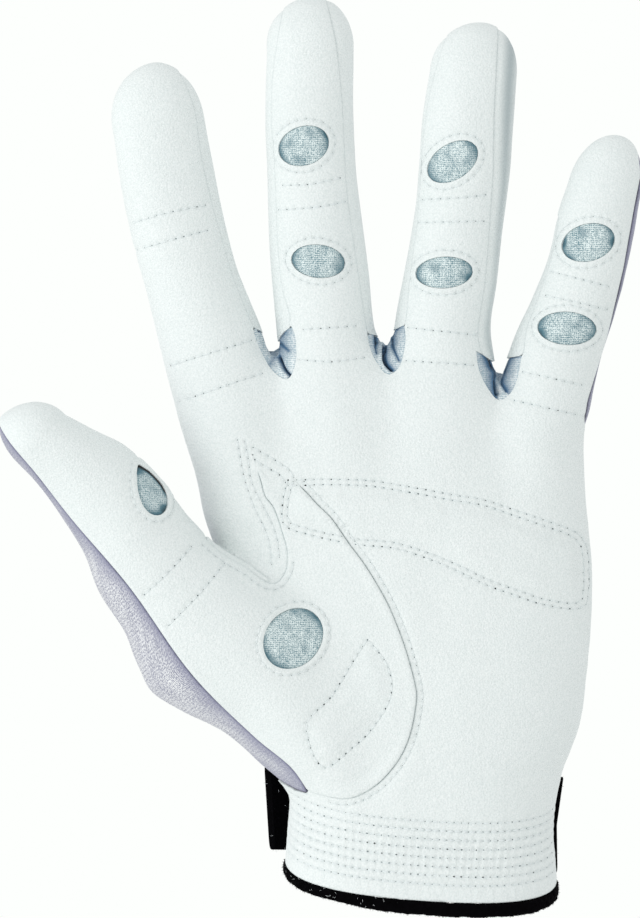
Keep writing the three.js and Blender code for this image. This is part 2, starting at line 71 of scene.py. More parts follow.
# Depths and widths in the leather. A sewn row: its bed, the pull of each stitch, its width, the wide dish
# round it, and its line of shade. A seam: how deep and how far in its edge rolls under, and the line of
# shade in it.
ROW = {"bed": 0.02, "pull": 0.22, "width": 0.42, "dish": 0.07, "reach": 1.4, "shade": 0.1, "line": 0.4}
SEAM = {"roll": 0.16, "turn": 0.45, "shade": 0.22, "line": 0.15}
# The cuff's gathers: depth and width of an elastic row, the spacing of the folds between the rows and above
# them, the height of both, and the shade of a row
GATHER = {"depth": 0.3, "width": 0.42, "folds": 2.9, "above": 5.5, "small": 0.05, "large": 0.12,
          "shade": 0.16}

# Fingers and thumb: base is the root in the front view, lean the tilt from +Z towards +X, tip the length and
# sideways shift of the rounded end. A row is along, shift, depth, wide, deep.
LIMBS = {
    "index": {"base": (-46, 104), "lean": -12.5, "tip": (14.1, 1.2), "rows": [
        (-16, 3.7, -0.6, 8.3, 11.0), (0, 1.9, -0.8, 11.9, 12.2), (16, 1.7, -1.4, 12.9, 11.2),
        (28, 0.6, -2.2, 12.1, 10.3), (40, -0.55, -3.2, 11.2, 9.9), (52, -1.1, -4.6, 11.3, 9.5),
        (64, -0.9, -6.4, 11.3, 9.0), (78, -0.1, -8.8, 11.0, 8.3)]},
    "middle": {"base": (-19, 104), "lean": -4.5, "tip": (11.6, 1.2), "rows": [
        (-16, 0.5, -0.6, 10.0, 11.2), (0, -0.8, -0.8, 12.0, 12.4), (16, -1.6, -1.4, 12.0, 11.3),
        (28, -2.1, -2.0, 11.7, 10.7), (40, -2.3, -2.8, 11.7, 10.3), (52, -2.5, -3.8, 11.3, 10.0),
        (64, -2.4, -5.0, 10.7, 9.6), (78, -1.9, -6.8, 10.6, 9.1), (94.5, -0.4, -9.6, 10.4, 8.4)]},
    "ring": {"base": (5, 104), "lean": 5.5, "tip": (12.2, 1.4), "rows": [
        (-16, -1.0, -0.6, 10.0, 11.2), (0, -1.4, -0.8, 12.0, 12.2), (16, -1.7, -1.4, 13.0, 11.0),
        (28, -2.7, -2.0, 11.5, 10.4), (40, -2.0, -2.8, 11.2, 10.0), (52, -1.5, -3.8, 10.8, 9.7),
        (64, -1.3, -5.2, 11.0, 9.4), (76, -1.6, -6.9, 11.0, 9.0), (88, -1.4, -8.8, 10.4, 8.3)]},
    "little": {"base": (28, 104), "lean": 14, "tip": (13.5, 0.6), "rows": [
        (-16, 2.4, -0.4, 11.0, 10.4), (0, -0.9, -0.6, 10.8, 11.4), (10, -1.2, -1.0, 11.4, 10.4),
        (22, -1.1, -1.6, 10.9, 9.6), (33, 0.2, -2.4, 10.2, 9.0), (43, 0.9, -3.3, 9.7, 8.6),
        (53, 0.6, -4.5, 9.6, 8.1), (62, 0.5, -5.8, 8.9, 7.5)]},
    "thumb": {"base": (-30, 34), "lean": -42.85, "tip": (9.8, -3.0), "rows": [
        (-26, 0.0, -3.0, 7.0, 16.0), (-12, 1.5, -4.6, 11.5, 17.0), (0, 3.2, -6.0, 14.4, 17.2),
        (12, 4.2, -7.4, 16.6, 17.0), (22, 3.0, -8.6, 19.0, 16.6), (31, 1.4, -9.7, 19.9, 15.9),
        (38, 1.3, -10.8, 17.9, 15.0), (46, 1.7, -12.0, 15.2, 13.8), (56, 2.5, -13.6, 14.1, 12.4),
        (66, 5.1, -15.4, 12.8, 11.4), (78, 6.0, -17.8, 11.2, 10.2), (86, 5.0, -19.7, 9.3, 9.4),
        (93, 3.8, -21.4, 8.1, 8.6)]},
}

# The hand between wrist and finger roots: height, left, right, palm side, back.
PALM_ROWS = [
    (-16, -33.0, 32.4, -21.5, 20.5), (0, -33.0, 32.2, -21.5, 20.5), (11, -32.3, 31.5, -21.2, 20.3),
    (20, -31.8, 32.3, -21.6, 20.2), (26, -33.0, 33.8, -22.0, 19.9), (32, -36.0, 36.3, -22.0, 19.4),
    (38, -38.5, 38.1, -21.6, 18.6), (48, -41.0, 39.3, -20.6, 17.6), (58, -43.5, 40.2, -19.2, 16.8),
    (68, -46.0, 40.8, -17.8, 16.2), (78, -49.5, 40.5, -16.6, 15.4), (90, -53.0, 38.7, -15.2, 14.4),
    (112, -53.0, 37.5, -12.0, 11.4)]
PALM_FULLNESS = 2.5
PALM_TOP = {"round": 16.5, "middle": -25, "width": 53, "fall": 14, "from": 84}

# Where the leather of the front meets the knit of the back: Y over height, and over the length of the thumb
SIDE_SEAM = [(-30, 0), (60, 0), (104, 0.5), (140, -1.5), (175, -4.5), (225, -11)]
THUMB_SIDE_SEAM = [(-30, 0), (24, -2), (56, -9.6), (78, -15), (125, -25)]

# Side strips: finger, side, and the seam as (place along the finger, share of its half width)
STRIPS = {
    "side_strip_index": ("index", 1, [
        (23.5, 0.96), (26.2, 0.87), (45, 0.87), (66, 0.8), (80, 0.83), (92, 0.62)]),
    "side_strip_middle_left": ("middle", -1, [
        (25, 0.93), (28.8, 0.7), (38, 0.81), (60, 0.83), (90, 0.84), (106, 0.5)]),
    "side_strip_middle_right": ("middle", 1, [
        (23.5, 0.93), (25.6, 0.85), (54, 0.75), (80, 0.75), (106, 0.44)]),
    "side_strip_ring_left": ("ring", -1, [
        (23.5, 0.95), (26.9, 0.8), (38, 0.88), (54, 0.93), (64, 0.96), (74, 0.94), (88, 0.88), (100, 0.6)]),
    "side_strip_ring_right": ("ring", 1, [
        (19.5, 0.9), (22.8, 0.73), (34, 0.75), (50, 0.7), (80, 0.54), (100, 0.46)]),
    "side_strip_little": ("little", -1, [
        (16, 0.9), (18.6, 0.72), (26, 0.85), (35, 0.9), (45, 0.95), (52, 0.96), (53.5, 1.0), (55, 1.12)]),
}
WEBS = {
    "web_index_middle": [(-40.6, 131.7), (-39.6, 128.1), (-37.3, 123.2), (-35.6, 120.8), (-33, 119),
                         (-31.6, 119.6), (-30.3, 123.5), (-30.4, 129), (-31.3, 131.6)],
    "web_middle_ring": [(-13.1, 130), (-12.4, 126.4), (-10.6, 122.6), (-8.2, 120.1), (-5.6, 121.8),
                        (-4.3, 126), (-4, 129.4), (-4.4, 132)],
    "web_ring_little": [(13, 125.8), (13.7, 121.3), (15.6, 117.2), (18.4, 114), (20.8, 115.2),
                        (22.6, 118.4), (23.9, 124.7)],
}
# The webs' upper edges, from the right to the left, where they meet the side strips
WEB_TOPS = {"web_index_middle": [(-33.4, 130.3), (-34.8, 128.1), (-36.5, 127.5), (-38.4, 130.6)],
            "web_middle_ring": [(-7, 130.8), (-7.9, 128.8), (-9.5, 128.5), (-10.9, 129.6)],
            "web_ring_little": [(20.4, 124.1), (18.5, 123), (16.7, 123.6)]}
# Oval windows: x, z, half axes, tilt of the long one, the Y that the opening is cut back to, and how much
# narrower the far end is than the near one
WINDOWS = {
    "window_middle_upper": (-28.4, 175.0, 6.3, 4.7, 18, -4, 0.0),
    "window_middle_lower": (-24.9, 147.3, 6.6, 4.0, -6, -4, 0.0),
    "window_ring_upper": (7.3, 171.2, 6.8, 4.3, 32, -4, 0.0),
    "window_ring_lower": (5.3, 144.6, 7.0, 3.8, 3, -4, 0.0),
    "window_little_upper": (39.9, 151.8, 6.6, 4.5, 14, -4, 0.0),
    "window_little_lower": (34.8, 131.2, 7.2, 4.0, -4, -4, 0.0),
    "window_thumb": (-65.2, 92.7, 6.7, 3.0, 112, -14, 0.36),
    "window_thenar": (-30.9, 56.8, 7.9, 6.6, 48, -4, 0.0),
}
# The thumb's window stands open at a slightly bowed edge: its middle, way out, bow and half its length
WINDOW_FLAP = ((-64.5, 95.15), (0.713, 0.702), 0.68, 4.7)
THUMB_KNIT_SEAM = [(-103, 111), (-99.6, 104.6), (-92.7, 96.3), (-84.2, 85.4), (-70.3, 69.1), (-55.2, 48),
                   (-40.1, 32.9), (-31.4, 25.7), (-27.6, 20.3)]
THENAR_SEAM = [(-27.6, 20.3), (-25.4, 19.4), (-22.3, 18.7), (-19.2, 18.2), (-16.1, 18.7), (-13, 20.2),
               (-10.1, 22.3), (-7, 25.7), (-4.8, 29), (-2.9, 33.6), (-1.7, 39.1), (-1.3, 43.2), (-1.9, 46.8),
               (-4.1, 54.7), (-6.1, 60.1), (-8.2, 65), (-11, 70.1), (-14.4, 75.4), (-17.8, 79.9),
               (-21.8, 85.7), (-25.2, 89), (-28.1, 92.2), (-32.8, 96.4), (-37.2, 99.4), (-40.9, 101.1)]
TONGUE_SEAM = [(-40.9, 101.1), (-39.7, 97.7), (-38.5, 94.1), (-37.7, 91), (-35.8, 88.6), (-34.6, 85.7),
               (-33.6, 82.4), (-32.5, 78.7), (-32.3, 76.3), (-32.7, 73), (-34.6, 70.3), (-36.7, 70.1),
               (-39.1, 71.5), (-42, 73.7), (-46.1, 76.1), (-48.7, 77.9), (-51.6, 80.4)]
THUMB_OUTSIDE = [(-53.4, 85), (-58.1, 92.4), (-65.3, 104.4), (-77.3, 116), (-96.5, 120), (-110, 120)]
THUMB_BACK_SEAM = [(-51.6, 80.4), (-47.5, 66), (-42, 50), (-36, 38), (-30, 27)]
THUMB_BACK_OUTSIDE = [(-27.6, 20.3), (-30.5, 21), (-32.9, 22.1), (-34.6, 23), (-38.4, 25.7), (-46, 30),
                      (-120, 60), (-120, 124)]

PALM_PAD = [(-32.2, 94.8), (-22.1, 95), (-12, 94.6), (-2.4, 93.1), (7.7, 91.2), (15.1, 90), (22.3, 87.6),
            (29.8, 85), (37, 82.3), (39.6, 79.2), (40.3, 69.4), (38.9, 64.3), (29.8, 64.8), (22.3, 67.2),
            (15.1, 69.8), (7.7, 73.4), (0.5, 76.3), (-7, 78.5), (-14.2, 79.2), (-21.6, 80.4), (-27.4, 81.8),
            (-33.1, 84), (-33.4, 90), (-32.2, 94.8)]
THENAR_PAD = [
    (-13.1, 56.5), (-11.3, 54.6), (-8.3, 50.3), (-7.2, 44.8), (-8.7, 40), (-13.4, 33.4), (-17.1, 30.1),
    (-20, 27.6), (-23.3, 25.5), (-25.9, 28.3), (-27.7, 34.2), (-27.4, 37.1), (-22.2, 42.2), (-19.3, 46.6),
    (-15.6, 52.8), (-13.1, 56.5)]
# Sewn rows across the fingers, beside the tongue, and across the thumb
PALM_SEWING = [
    [(-69.5, 156.4), (-62.7, 158.5), (-51.8, 160.8)], [(-68.7, 149.9), (-58, 153), (-51.3, 154.7)],
    [(-60.5, 122.2), (-40.8, 128.4)], [(-58.6, 113.5), (-38.2, 120.5)],
    [(-33.6, 165.5), (-26.5, 165.8), (-19.5, 167.3)], [(-34.6, 159.6), (-25.2, 160.3), (-18.2, 161.6)],
    [(-28.6, 130.9), (-15.7, 131.8)], [(-29.6, 123.7), (-21.6, 123.2), (-13.7, 124.3)],
    [(-0.1, 162.1), (10.2, 162.6), (15.4, 163.2)], [(-1, 156.6), (15, 156.9)],
    [(-3.6, 131.4), (13.1, 129.6)], [(-3.9, 123.5), (12.5, 122.4)],
    [(30.8, 144.9), (44.9, 141.2)], [(29.5, 139.2), (44.6, 135.7)],
    [(24, 120.8), (38.5, 117.6)], [(22.1, 114), (39.1, 110)]]
TONGUE_SEWING = [
    [(-42.5, 104.1), (-41.6, 99.3), (-41.1, 94.8), (-39.3, 90.6), (-36.3, 84.9), (-34.9, 80.9),
     (-34.3, 76.2)],
    [(-44.3, 104.4), (-43.5, 99.5), (-42.6, 94.8), (-40.2, 87.9), (-37.7, 82.9), (-36.6, 79.1),
     (-36.2, 74.5)],
    [(-40.5, 102.6), (-38.4, 101.4), (-36.2, 100.2), (-33.9, 98.7), (-31.8, 97.2), (-30.8, 95.4)]]
THUMB_SEWING = [[(-55.2, 78.9), (-60.5, 73), (-66.7, 67.2)], [(-47.3, 74.9), (-52.6, 68.4), (-60.8, 59.9)],
                [(-40.1, 99.7), (-38, 98.3), (-35.7, 97), (-33.6, 95.6), (-32.8, 94.2)]]
# The little finger's outer seam: Y over height on its side, and its line in the front view
LITTLE_SIDE_SEAM = [(-30, 0), (60, 0), (92, -1), (104, -2.4), (113, -3.4), (125, -3.8), (136, -4.9),
                    (146, -6.2), (155, -7.6), (164, -9), (170, -8.6), (178, -6), (225, -6)]
LITTLE_OUTER_SEAM = [(40.6, 98), (39.8, 102), (39.5, 106), (39.2, 109.2), (39.8, 113.6), (41.4, 118.8),
                     (44.6, 129), (48.5, 145.7), (51.2, 161), (53.2, 171)]
TONGUE_TIP = THENAR_SEAM[-1]


def cubic(place, value, at):
    """Value at a place: a cubic between two rows whose slopes are those between each row's neighbours."""
    place, value, at = np.asarray(place, float), np.asarray(value, float), np.asarray(at, float)
    last = len(place) - 1
    before, after = np.maximum(np.arange(last + 1) - 1, 0), np.minimum(np.arange(last + 1) + 1, last)
    slope = (value[after] - value[before]) / (place[after] - place[before])[:, None]
    i = np.clip(np.searchsorted(place, at, side="left") - 1, 0, last - 1)
    span = (place[i + 1] - place[i])[:, None]
    u = np.clip((at[:, None] - place[i][:, None]) / span, 0, 1)
    return ((2 * u**3 - 3 * u**2 + 1) * value[i] + (u**3 - 2 * u**2 + u) * span * slope[i]
            + (3 * u**2 - 2 * u**3) * value[i + 1] + (u**3 - u**2) * span * slope[i + 1])


def curve(points, count):
    """A smooth line through points: the same cubic, over the length of the straight steps between them."""
    points = np.asarray(points, float)
    length = np.r_[0, np.cumsum(np.hypot(*np.diff(points, axis=0).T))]
    return cubic(length, points, np.linspace(0, length[-1], count))


def even_line(points, step, smooth=True):
    """Points a step apart along a line: equal shares of its length."""
    line = curve(points, 24 * len(points)) if smooth else np.asarray(points, float)
    length = np.r_[0, np.cumsum(np.hypot(*np.diff(line, axis=0).T))]
    count = max(int(round(length[-1] / step)), 1) + 1
    at = np.linspace(0, length[-1], count)
    return np.column_stack([np.interp(at, length, line[:, 0]), np.interp(at, length, line[:, 1])])


def limb_axes(limb):
    """Root, and the directions along and across a finger in the front view."""
    lean = math.radians(limb["lean"])
    return np.array(limb["base"], float), np.array([math.sin(lean), math.cos(lean)]), np.array(
        [math.cos(lean), -math.sin(lean)])


def limb_point(limb, along, across):
    """A place on a finger in the front view: its root, so far along and so far across."""
    root, e, a = limb_axes(limb)
    return root + np.asarray(along)[:, None] * e + np.asarray(across)[:, None] * a


def limb_section(limb, p):
    """Where points lie on a finger: how far along and across, and its section there, as the sideways shift,
    the depth and the two half widths of an oval."""
    rows = np.array(limb["rows"], float)
    root, e, a = limb_axes(limb)
    flat = p[:, [0, 2]] - root
    along, across = flat @ e, flat @ a
    return along, across, cubic(rows[:, 0], rows[:, 1:], np.clip(along, rows[0, 0], rows[-1, 0])).T


def limb_distance(limb, p):
    """Distance from a finger's skin: how far the scaled distance from the middle of its oval section passes
    one, over that scaled distance's steepness. Past the last row the section shrinks as a circle does."""
    first, last = limb["rows"][0][0], limb["rows"][-1][0]
    along, across, (shift, depth, wide, deep) = limb_section(limb, p)
    length, tip_shift = limb["tip"]
    past = np.maximum(along - last, 0) / length
    below = np.maximum(first - along, 0) / 6
    scale = np.sqrt(np.maximum(1 - past**2, 0))
    qa, qd = (across - shift - tip_shift * (1 - scale)) / wide, (p[:, 1] - depth) / deep
    g = np.sqrt(qa**2 + qd**2 + past**2 + below**2) + 1e-9
    steep = np.sqrt((qa / wide) ** 2 + (qd / deep) ** 2 + (past / length) ** 2 + (below / 6) ** 2) / g + 1e-6
    return (g - 1) / steep


def palm_distance(p):
    """Distance from the hand's body: the same rule, for sections that are superellipses of exponent 2.5.
    The top is rounded, and lowered to both sides by one minus a bell curve."""
    rows = np.array(PALM_ROWS, float)
    x, y, z = p.T
    top = rows[-1, 0]
    bell = 1 - np.exp(-(((x - PALM_TOP["middle"]) / PALM_TOP["width"]) ** 2))
    height = z.copy()
    for _ in range(5):
        share = np.clip((height - PALM_TOP["from"]) / (top - PALM_TOP["from"]), 0, 1)
        height = z + PALM_TOP["fall"] * bell * share**2
    left, right, front, back = cubic(rows[:, 0], rows[:, 1:], np.clip(height, rows[0, 0], top)).T
    wide, deep, n = (right - left) / 2, (back - front) / 2, PALM_FULLNESS
    u, v = np.abs(x - (left + right) / 2) / wide, np.abs(y - (front + back) / 2) / deep
    up = np.maximum(height - top, 0) / PALM_TOP["round"]
    r = (u**n + v**n) ** (1 / n) + 1e-9
    g = np.sqrt(r**2 + up**2)
    steep = np.sqrt((r / g) ** 2 * (((u / r) ** (n - 1) / wide) ** 2 + ((v / r) ** (n - 1) / deep) ** 2)
                    + (up / g / PALM_TOP["round"]) ** 2) + 1e-6
    return (g - 1) / steep


def soft_join(a, b, reach):
    """The lesser of two distances, rounded by a square where they differ by less than the reach."""
    near = np.maximum(reach - np.abs(a - b), 0) / reach
    return np.minimum(a, b) - near**2 * reach / 4


def ease(x, low, high):
    """0 below low, 1 above high, and a smooth step between them."""
    t = np.clip((x - low) / (high - low), 0, 1)
    return t * t * (3 - 2 * t)


def hand_distance(p):
    """Distance from the whole glove's skin: each finger joined softly to the hand, and the nearest taken."""
    palm = palm_distance(p)
    thumb_reach = (9 - 6.5 * ease(p[:, 2], 60, 76)) * (0.3 + 0.7 * ease(p[:, 2], 18, 36))
    joined = [soft_join(palm, limb_distance(limb, p), thumb_reach if name == "thumb" else FINGER_JOIN)
              for name, limb in LIMBS.items()]
    return np.min(joined, axis=0)


def slope_of(field, p, step=0.04):
    """Direction in which a field grows: its differences over a small step each way."""
    out = np.empty_like(p)
    for axis in range(3):
        d = np.zeros(3)
        d[axis] = step
        out[:, axis] = (field(p + d) - field(p - d)) / (2 * step)
    return out


def onto_skin(p, rounds=2):
    """Points moved to the skin: back along the slope by distance over steepness, twice."""
    for _ in range(rounds):
        g = slope_of(hand_distance, p)
        p = p - g * (np.clip(hand_distance(p), -3, 3) / np.maximum((g**2).sum(1), 0.2))[:, None]
    return p


def unit(v):
    """Rows of numbers over their own length."""
    return v / np.maximum(np.linalg.norm(v, axis=1), 1e-9)[:, None]


def plain_skin(step):
    """The skin as quads between grid cells that it passes through: one point a cell, the mean of where the
    cell's edges cross the skin, eased towards its neighbours and put back on the skin."""
    low, high = np.array([-112.0, -46.0, -14.0]), np.array([62.0, 36.0, 230.0])
    count = np.ceil((high - low) / step).astype(int) + 1
    axes = [low[i] + step * np.arange(count[i]) for i in range(3)]
    coarse = [a[::4] for a in axes]
    grid = np.stack(np.meshgrid(*coarse, indexing="ij"), -1).reshape(-1, 3)
    rough = hand_distance(grid).reshape([len(a) for a in coarse])
    index = [np.minimum((np.arange(n) + 2) // 4, len(c) - 1) for n, c in zip(count, coarse)]
    value = rough[np.ix_(*index)].astype(float)
    near = np.argwhere(np.abs(value) < 4.6 * step)
    spots = low + near * step
    value[tuple(near.T)] = hand_distance(spots)
    inside = value < 0
    full = np.zeros(np.array(count) - 1, int)
    corners = [(i, j, k) for i in (0, 1) for j in (0, 1) for k in (0, 1)]
    for i, j, k in corners:
        full += inside[i:count[0] - 1 + i, j:count[1] - 1 + j, k:count[2] - 1 + k]
    cells = np.argwhere((full > 0) & (full < 8))
    number = -np.ones(full.shape, int)
    number[tuple(cells.T)] = np.arange(len(cells))
    held = np.stack([value[tuple((cells + c).T)] for c in corners], 1)
    total, hits = np.zeros((len(cells), 3)), np.zeros(len(cells))
    for a in range(8):
        for b in range(a + 1, 8):
            if np.abs(np.subtract(corners[a], corners[b])).sum() != 1:
                continue
            cross = (held[:, a] < 0) != (held[:, b] < 0)
            t = np.where(cross, held[:, a] / np.where(cross, held[:, a] - held[:, b], 1), 0)
            point = np.array(corners[a]) + t[:, None] * (np.array(corners[b]) - np.array(corners[a]))
            total += point * cross[:, None]
            hits += cross
    points = low + step * (cells + total / hits[:, None])
    quads = []
    for axis in range(3):
        other = [(axis + 1) % 3, (axis + 2) % 3]
        lower = np.take(inside, range(count[axis] - 1), axis)
        upper = np.take(inside, range(1, count[axis]), axis)
        edge = np.argwhere(lower != upper)
        keep = np.all([(edge[:, o] > 0) & (edge[:, o] < count[o] - 1) for o in other], axis=0)
        edge = edge[keep]
        back = [np.zeros(3, int) for _ in range(4)]
        back[1][other[0]] = back[2][other[0]] = back[2][other[1]] = back[3][other[1]] = 1
        quad = np.stack([number[tuple((edge - b).T)] for b in back], 1)
        out = lower[tuple(edge.T)]
        quads.append(np.where(out[:, None], quad, quad[:, ::-1]))
    quads = np.vstack(quads)
    links = np.vstack([quads[:, [0, 1]], quads[:, [1, 2]], quads[:, [2, 3]], quads[:, [3, 0]]])
    degree = np.bincount(links.ravel(), minlength=len(points))
    for _ in range(3):
        mean = np.stack([np.bincount(links[:, 0], points[links[:, 1], i], len(points))
                         + np.bincount(links[:, 1], points[links[:, 0], i], len(points))
                         for i in range(3)], 1)
        points = onto_skin(points * 0.4 + 0.6 * mean / degree[:, None], 1)
    points = onto_skin(points, 1)
    one = np.linalg.norm(points[quads[:, 0]] - points[quads[:, 2]], axis=1)
    two = np.linalg.norm(points[quads[:, 1]] - points[quads[:, 3]], axis=1)
    first = np.where((one < two)[:, None], quads[:, [0, 1, 2]], quads[:, [0, 1, 3]])
    second = np.where((one < two)[:, None], quads[:, [0, 2, 3]], quads[:, [1, 2, 3]])
    return points, np.vstack([first, second])


def seen(p):
    """Where points show in the front view: on straight lines to the eye, in the plane where Y is 0."""
    share = EYE["away"] / (EYE["away"] + p[:, 1])
    return np.column_stack([EYE["x"] + (p[:, 0] - EYE["x"]) * share,
                            EYE["z"] + (p[:, 2] - EYE["z"]) * share])


def outline_distance(outline, flat, reach=4.0):
    """Distance to a closed outline in the front view, positive inside: the least distance to its edges,
    with its sign from how often a level line to the left crosses it. Far outside it is minus the reach."""
    out = np.full(len(flat), -reach)
    x, z = flat.T
    low, high = outline.min(0) - reach, outline.max(0) + reach
    near = np.flatnonzero((x > low[0]) & (x < high[0]) & (z > low[1]) & (z < high[1]))
    if len(near) == 0:
        return out
    least, odd = np.full(len(near), 1e9), np.zeros(len(near), bool)
    px, pz = x[near], z[near]
    for (ax, az), (bx, bz) in zip(outline, np.roll(outline, -1, 0)):
        dx, dz = bx - ax, bz - az
        t = np.clip(((px - ax) * dx + (pz - az) * dz) / max(dx * dx + dz * dz, 1e-12), 0, 1)
        least = np.minimum(least, np.hypot(px - ax - t * dx, pz - az - t * dz))
        if dz != 0:
            odd ^= ((az > pz) != (bz > pz)) & (px < dx * (pz - az) / dz + ax)
    out[near] = np.where(odd, least, -least)
    return out


def line_distance(line, flat, reach=3.0):
    """Distance to an open line in the front view within a reach, and the length along it. The distance is
    negative on the line's left side; farther away it is endless."""
    away, along = np.full(len(flat), 1e3), np.zeros(len(flat))
    x, z = flat.T
    low, high = line.min(0) - reach, line.max(0) + reach
    near = np.flatnonzero((x > low[0]) & (x < high[0]) & (z > low[1]) & (z < high[1]))
    best, place, run, side = np.full(len(near), 1e3), np.zeros(len(near)), 0.0, np.ones(len(near))
    px, pz = x[near], z[near]
    for (ax, az), (bx, bz) in zip(line[:-1], line[1:]):
        dx, dz = bx - ax, bz - az
        size = math.hypot(dx, dz)
        t = np.clip(((px - ax) * dx + (pz - az) * dz) / max(size * size, 1e-12), 0, 1)
        d = np.hypot(px - ax - t * dx, pz - az - t * dz)
        closer = d < best
        best, place = np.where(closer, d, best), np.where(closer, run + t * size, place)
        side = np.where(closer, np.where((px - ax) * dz - (pz - az) * dx < 0, -1, 1), side)
        run += size
    away[near], along[near] = best * side, place
    return away, along


def oval(x, z, long, short, tilt, _back, narrow, grow=0.0, count=44):
    """An ellipse in the front view, grown by a distance, its width falling towards its far end."""
    turn = np.linspace(0, 2 * math.pi, count, endpoint=False)
    lean = math.radians(tilt)
    a, b = (long + grow) * np.cos(turn), (short * (1 - narrow * np.cos(turn)) + grow) * np.sin(turn)
    return np.column_stack([x + a * math.cos(lean) - b * math.sin(lean),
                            z + a * math.sin(lean) + b * math.cos(lean)])


def strip_outline(finger, side, seam, steps=30):
    """Outline of a side strip in the front view: its seam on the finger and a line outside the finger."""
    limb = LIMBS[finger]
    rows, seam = np.array(limb["rows"], float), np.array(seam, float)
    at = np.linspace(seam[0, 0], seam[-1, 0], steps)
    shift, _, half, _ = cubic(rows[:, 0], rows[:, 1:], np.minimum(at, rows[-1, 0])).T
    share = cubic(seam[:, 0], seam[:, 1:], at)[:, 0]
    inner = limb_point(limb, at, shift + side * half * share)
    outer = limb_point(limb, at, shift + side * (half + 1.4))
    cap = limb_point(limb, [rows[-1, 0] + limb["tip"][0] + 3], [rows[-1, 1] + side * 2])
    return np.vstack([inner, cap, outer[::-1]] if share[-1] < 0.9 else [inner, outer[::-1]])


WEB_OUTLINE = {name: np.vstack([curve(points, 40), WEB_TOPS[name]]) for name, points in WEBS.items()}
STRIP_OUTLINE = {name: strip_outline(*one) for name, one in STRIPS.items()}
WINDOW_OUTLINE = {name: oval(*one) for name, one in WINDOWS.items()}
THUMB_OUTLINE = np.vstack([curve(THUMB_KNIT_SEAM, 50), curve(THENAR_SEAM, 70)[1:],
                           curve(TONGUE_SEAM, 50)[1:], THUMB_OUTSIDE])
THUMB_BACK_OUTLINE = np.vstack([THUMB_BACK_OUTSIDE, THUMB_OUTSIDE[::-1], curve(THUMB_BACK_SEAM, 30)])


def rim_height(x, y):
    """Height of the leather's edge at the wrist: level behind, dipping softly on the palm side."""
    dip = np.sqrt(y**2 + HEM["softness"] ** 2) - y
    return HEM["back_height"] - HEM["dip_slope"] * 0.5 * dip + HEM["side_slope"] * x


def flap_at(flat):
    """How far places lie inside the edge at which the thumb's window stands open: a line plus a bow."""
    (x, z), (across, up), bow, half = WINDOW_FLAP
    right, over = flat[:, 0] - x, flat[:, 1] - z
    return bow * (1 - ((right * up - over * across) / half) ** 2) - right * across - over * up


def window_at(name, p):
    """How far points lie inside one window's opening."""
    flat = seen(p)
    inside = np.minimum(outline_distance(WINDOW_OUTLINE[name], flat), WINDOWS[name][5] - p[:, 1])
    return np.minimum(inside, flap_at(flat)) if name == "window_thumb" else inside


def windows_at(p):
    """How far points lie inside the nearest window."""
    return np.max([window_at(name, p) for name in WINDOWS], 0)


def webs_at(p):
    """How far points lie inside the nearest web."""
    return np.max([outline_distance(o, seen(p)) for o in WEB_OUTLINE.values()], 0)


def strips_at(p):
    """How far points lie inside the nearest side strip."""
    return np.max([outline_distance(o, p[:, [0, 2]]) for o in STRIP_OUTLINE.values()], 0)


def palm_side_at(p):
    """How far a point lies on the palm side of the side seam. The seam comes forward along the little
    finger, fading in over 5 mm across it, and keeps inside its own line in the front view there."""
    seam, little = np.array(SIDE_SEAM, float), np.array(LITTLE_SIDE_SEAM, float)
    outer, flat = np.array(LITTLE_OUTER_SEAM, float), seen(p)
    side = np.interp(p[:, 2], seam[:, 0], seam[:, 1]) - p[:, 1]
    forward = np.interp(p[:, 2], little[:, 0], little[:, 1]) - p[:, 1]
    within = np.interp(flat[:, 1], outer[:, 1], outer[:, 0], 1e3, 1e3) - flat[:, 0]
    leaning = 0.24 * np.maximum(flat[:, 1] - 104, 0)
    share = ease(flat[:, 0] - leaning, 31, 36)
    return np.where(share > 0.5, np.minimum(side + (forward - side) * share, within), side)


def thumb_panel_at(p):
    """How far a point lies inside the set-in thumb's leather: in its outline, before its side seam."""
    root, e, _ = limb_axes(LIMBS["thumb"])
    seam = np.array(THUMB_SIDE_SEAM, float)
    in_front = np.interp((p[:, [0, 2]] - root) @ e, seam[:, 0], seam[:, 1]) - p[:, 1]
    return np.minimum(outline_distance(THUMB_OUTLINE, seen(p)), in_front)


def seam_strength(p):
    """How much a seam shows: fully, but for the tongue's tip, where sewn rows hold it flat. It fades in over
    2.5 mm, from 3.4 mm off the tip on the tongue's left and from 12.4 mm off it on the right."""
    way = seen(p) - TONGUE_TIP
    away = np.hypot(*way.T)
    reach = 3.4 + 9 * ease(way[:, 0] / np.maximum(away, 1e-6), 0.45, 0.75)
    return ease(away, reach, reach + 2.5)


def region(name, p):
    """How far a point of the skin lies inside one panel's seams; panels overlap at the tongue's tip."""
    slit = SLIT - (SLIT + OVERLAP) * (1 - seam_strength(p))
    hem = p[:, 2] - rim_height(p[:, 0], p[:, 1])
    if name in WEBS:
        return outline_distance(WEB_OUTLINE[name], seen(p)) - SLIT
    if name in STRIPS:
        return np.minimum(outline_distance(STRIP_OUTLINE[name], p[:, [0, 2]]), -webs_at(p)) - SLIT
    if name in WINDOWS:
        return window_at(name, p) - SLIT
    thumb = thumb_panel_at(p)
    if name == "thumb_leather":
        return np.minimum(thumb - slit, -windows_at(p) - SLIT)
    behind_thumb = outline_distance(THUMB_BACK_OUTLINE, p[:, [0, 2]])
    if name == "thumb_knit":
        return np.min([behind_thumb, -thumb, -webs_at(p)], 0) - SLIT
    away = np.min([-thumb - slit + SLIT, -behind_thumb, -webs_at(p), -strips_at(p)], 0)
    if name == "palm_leather":
        return np.min([away - SLIT, palm_side_at(p) - SLIT, -windows_at(p) - SLIT, hem], 0)
    return np.min([away - SLIT, -palm_side_at(p) - SLIT, hem], 0)


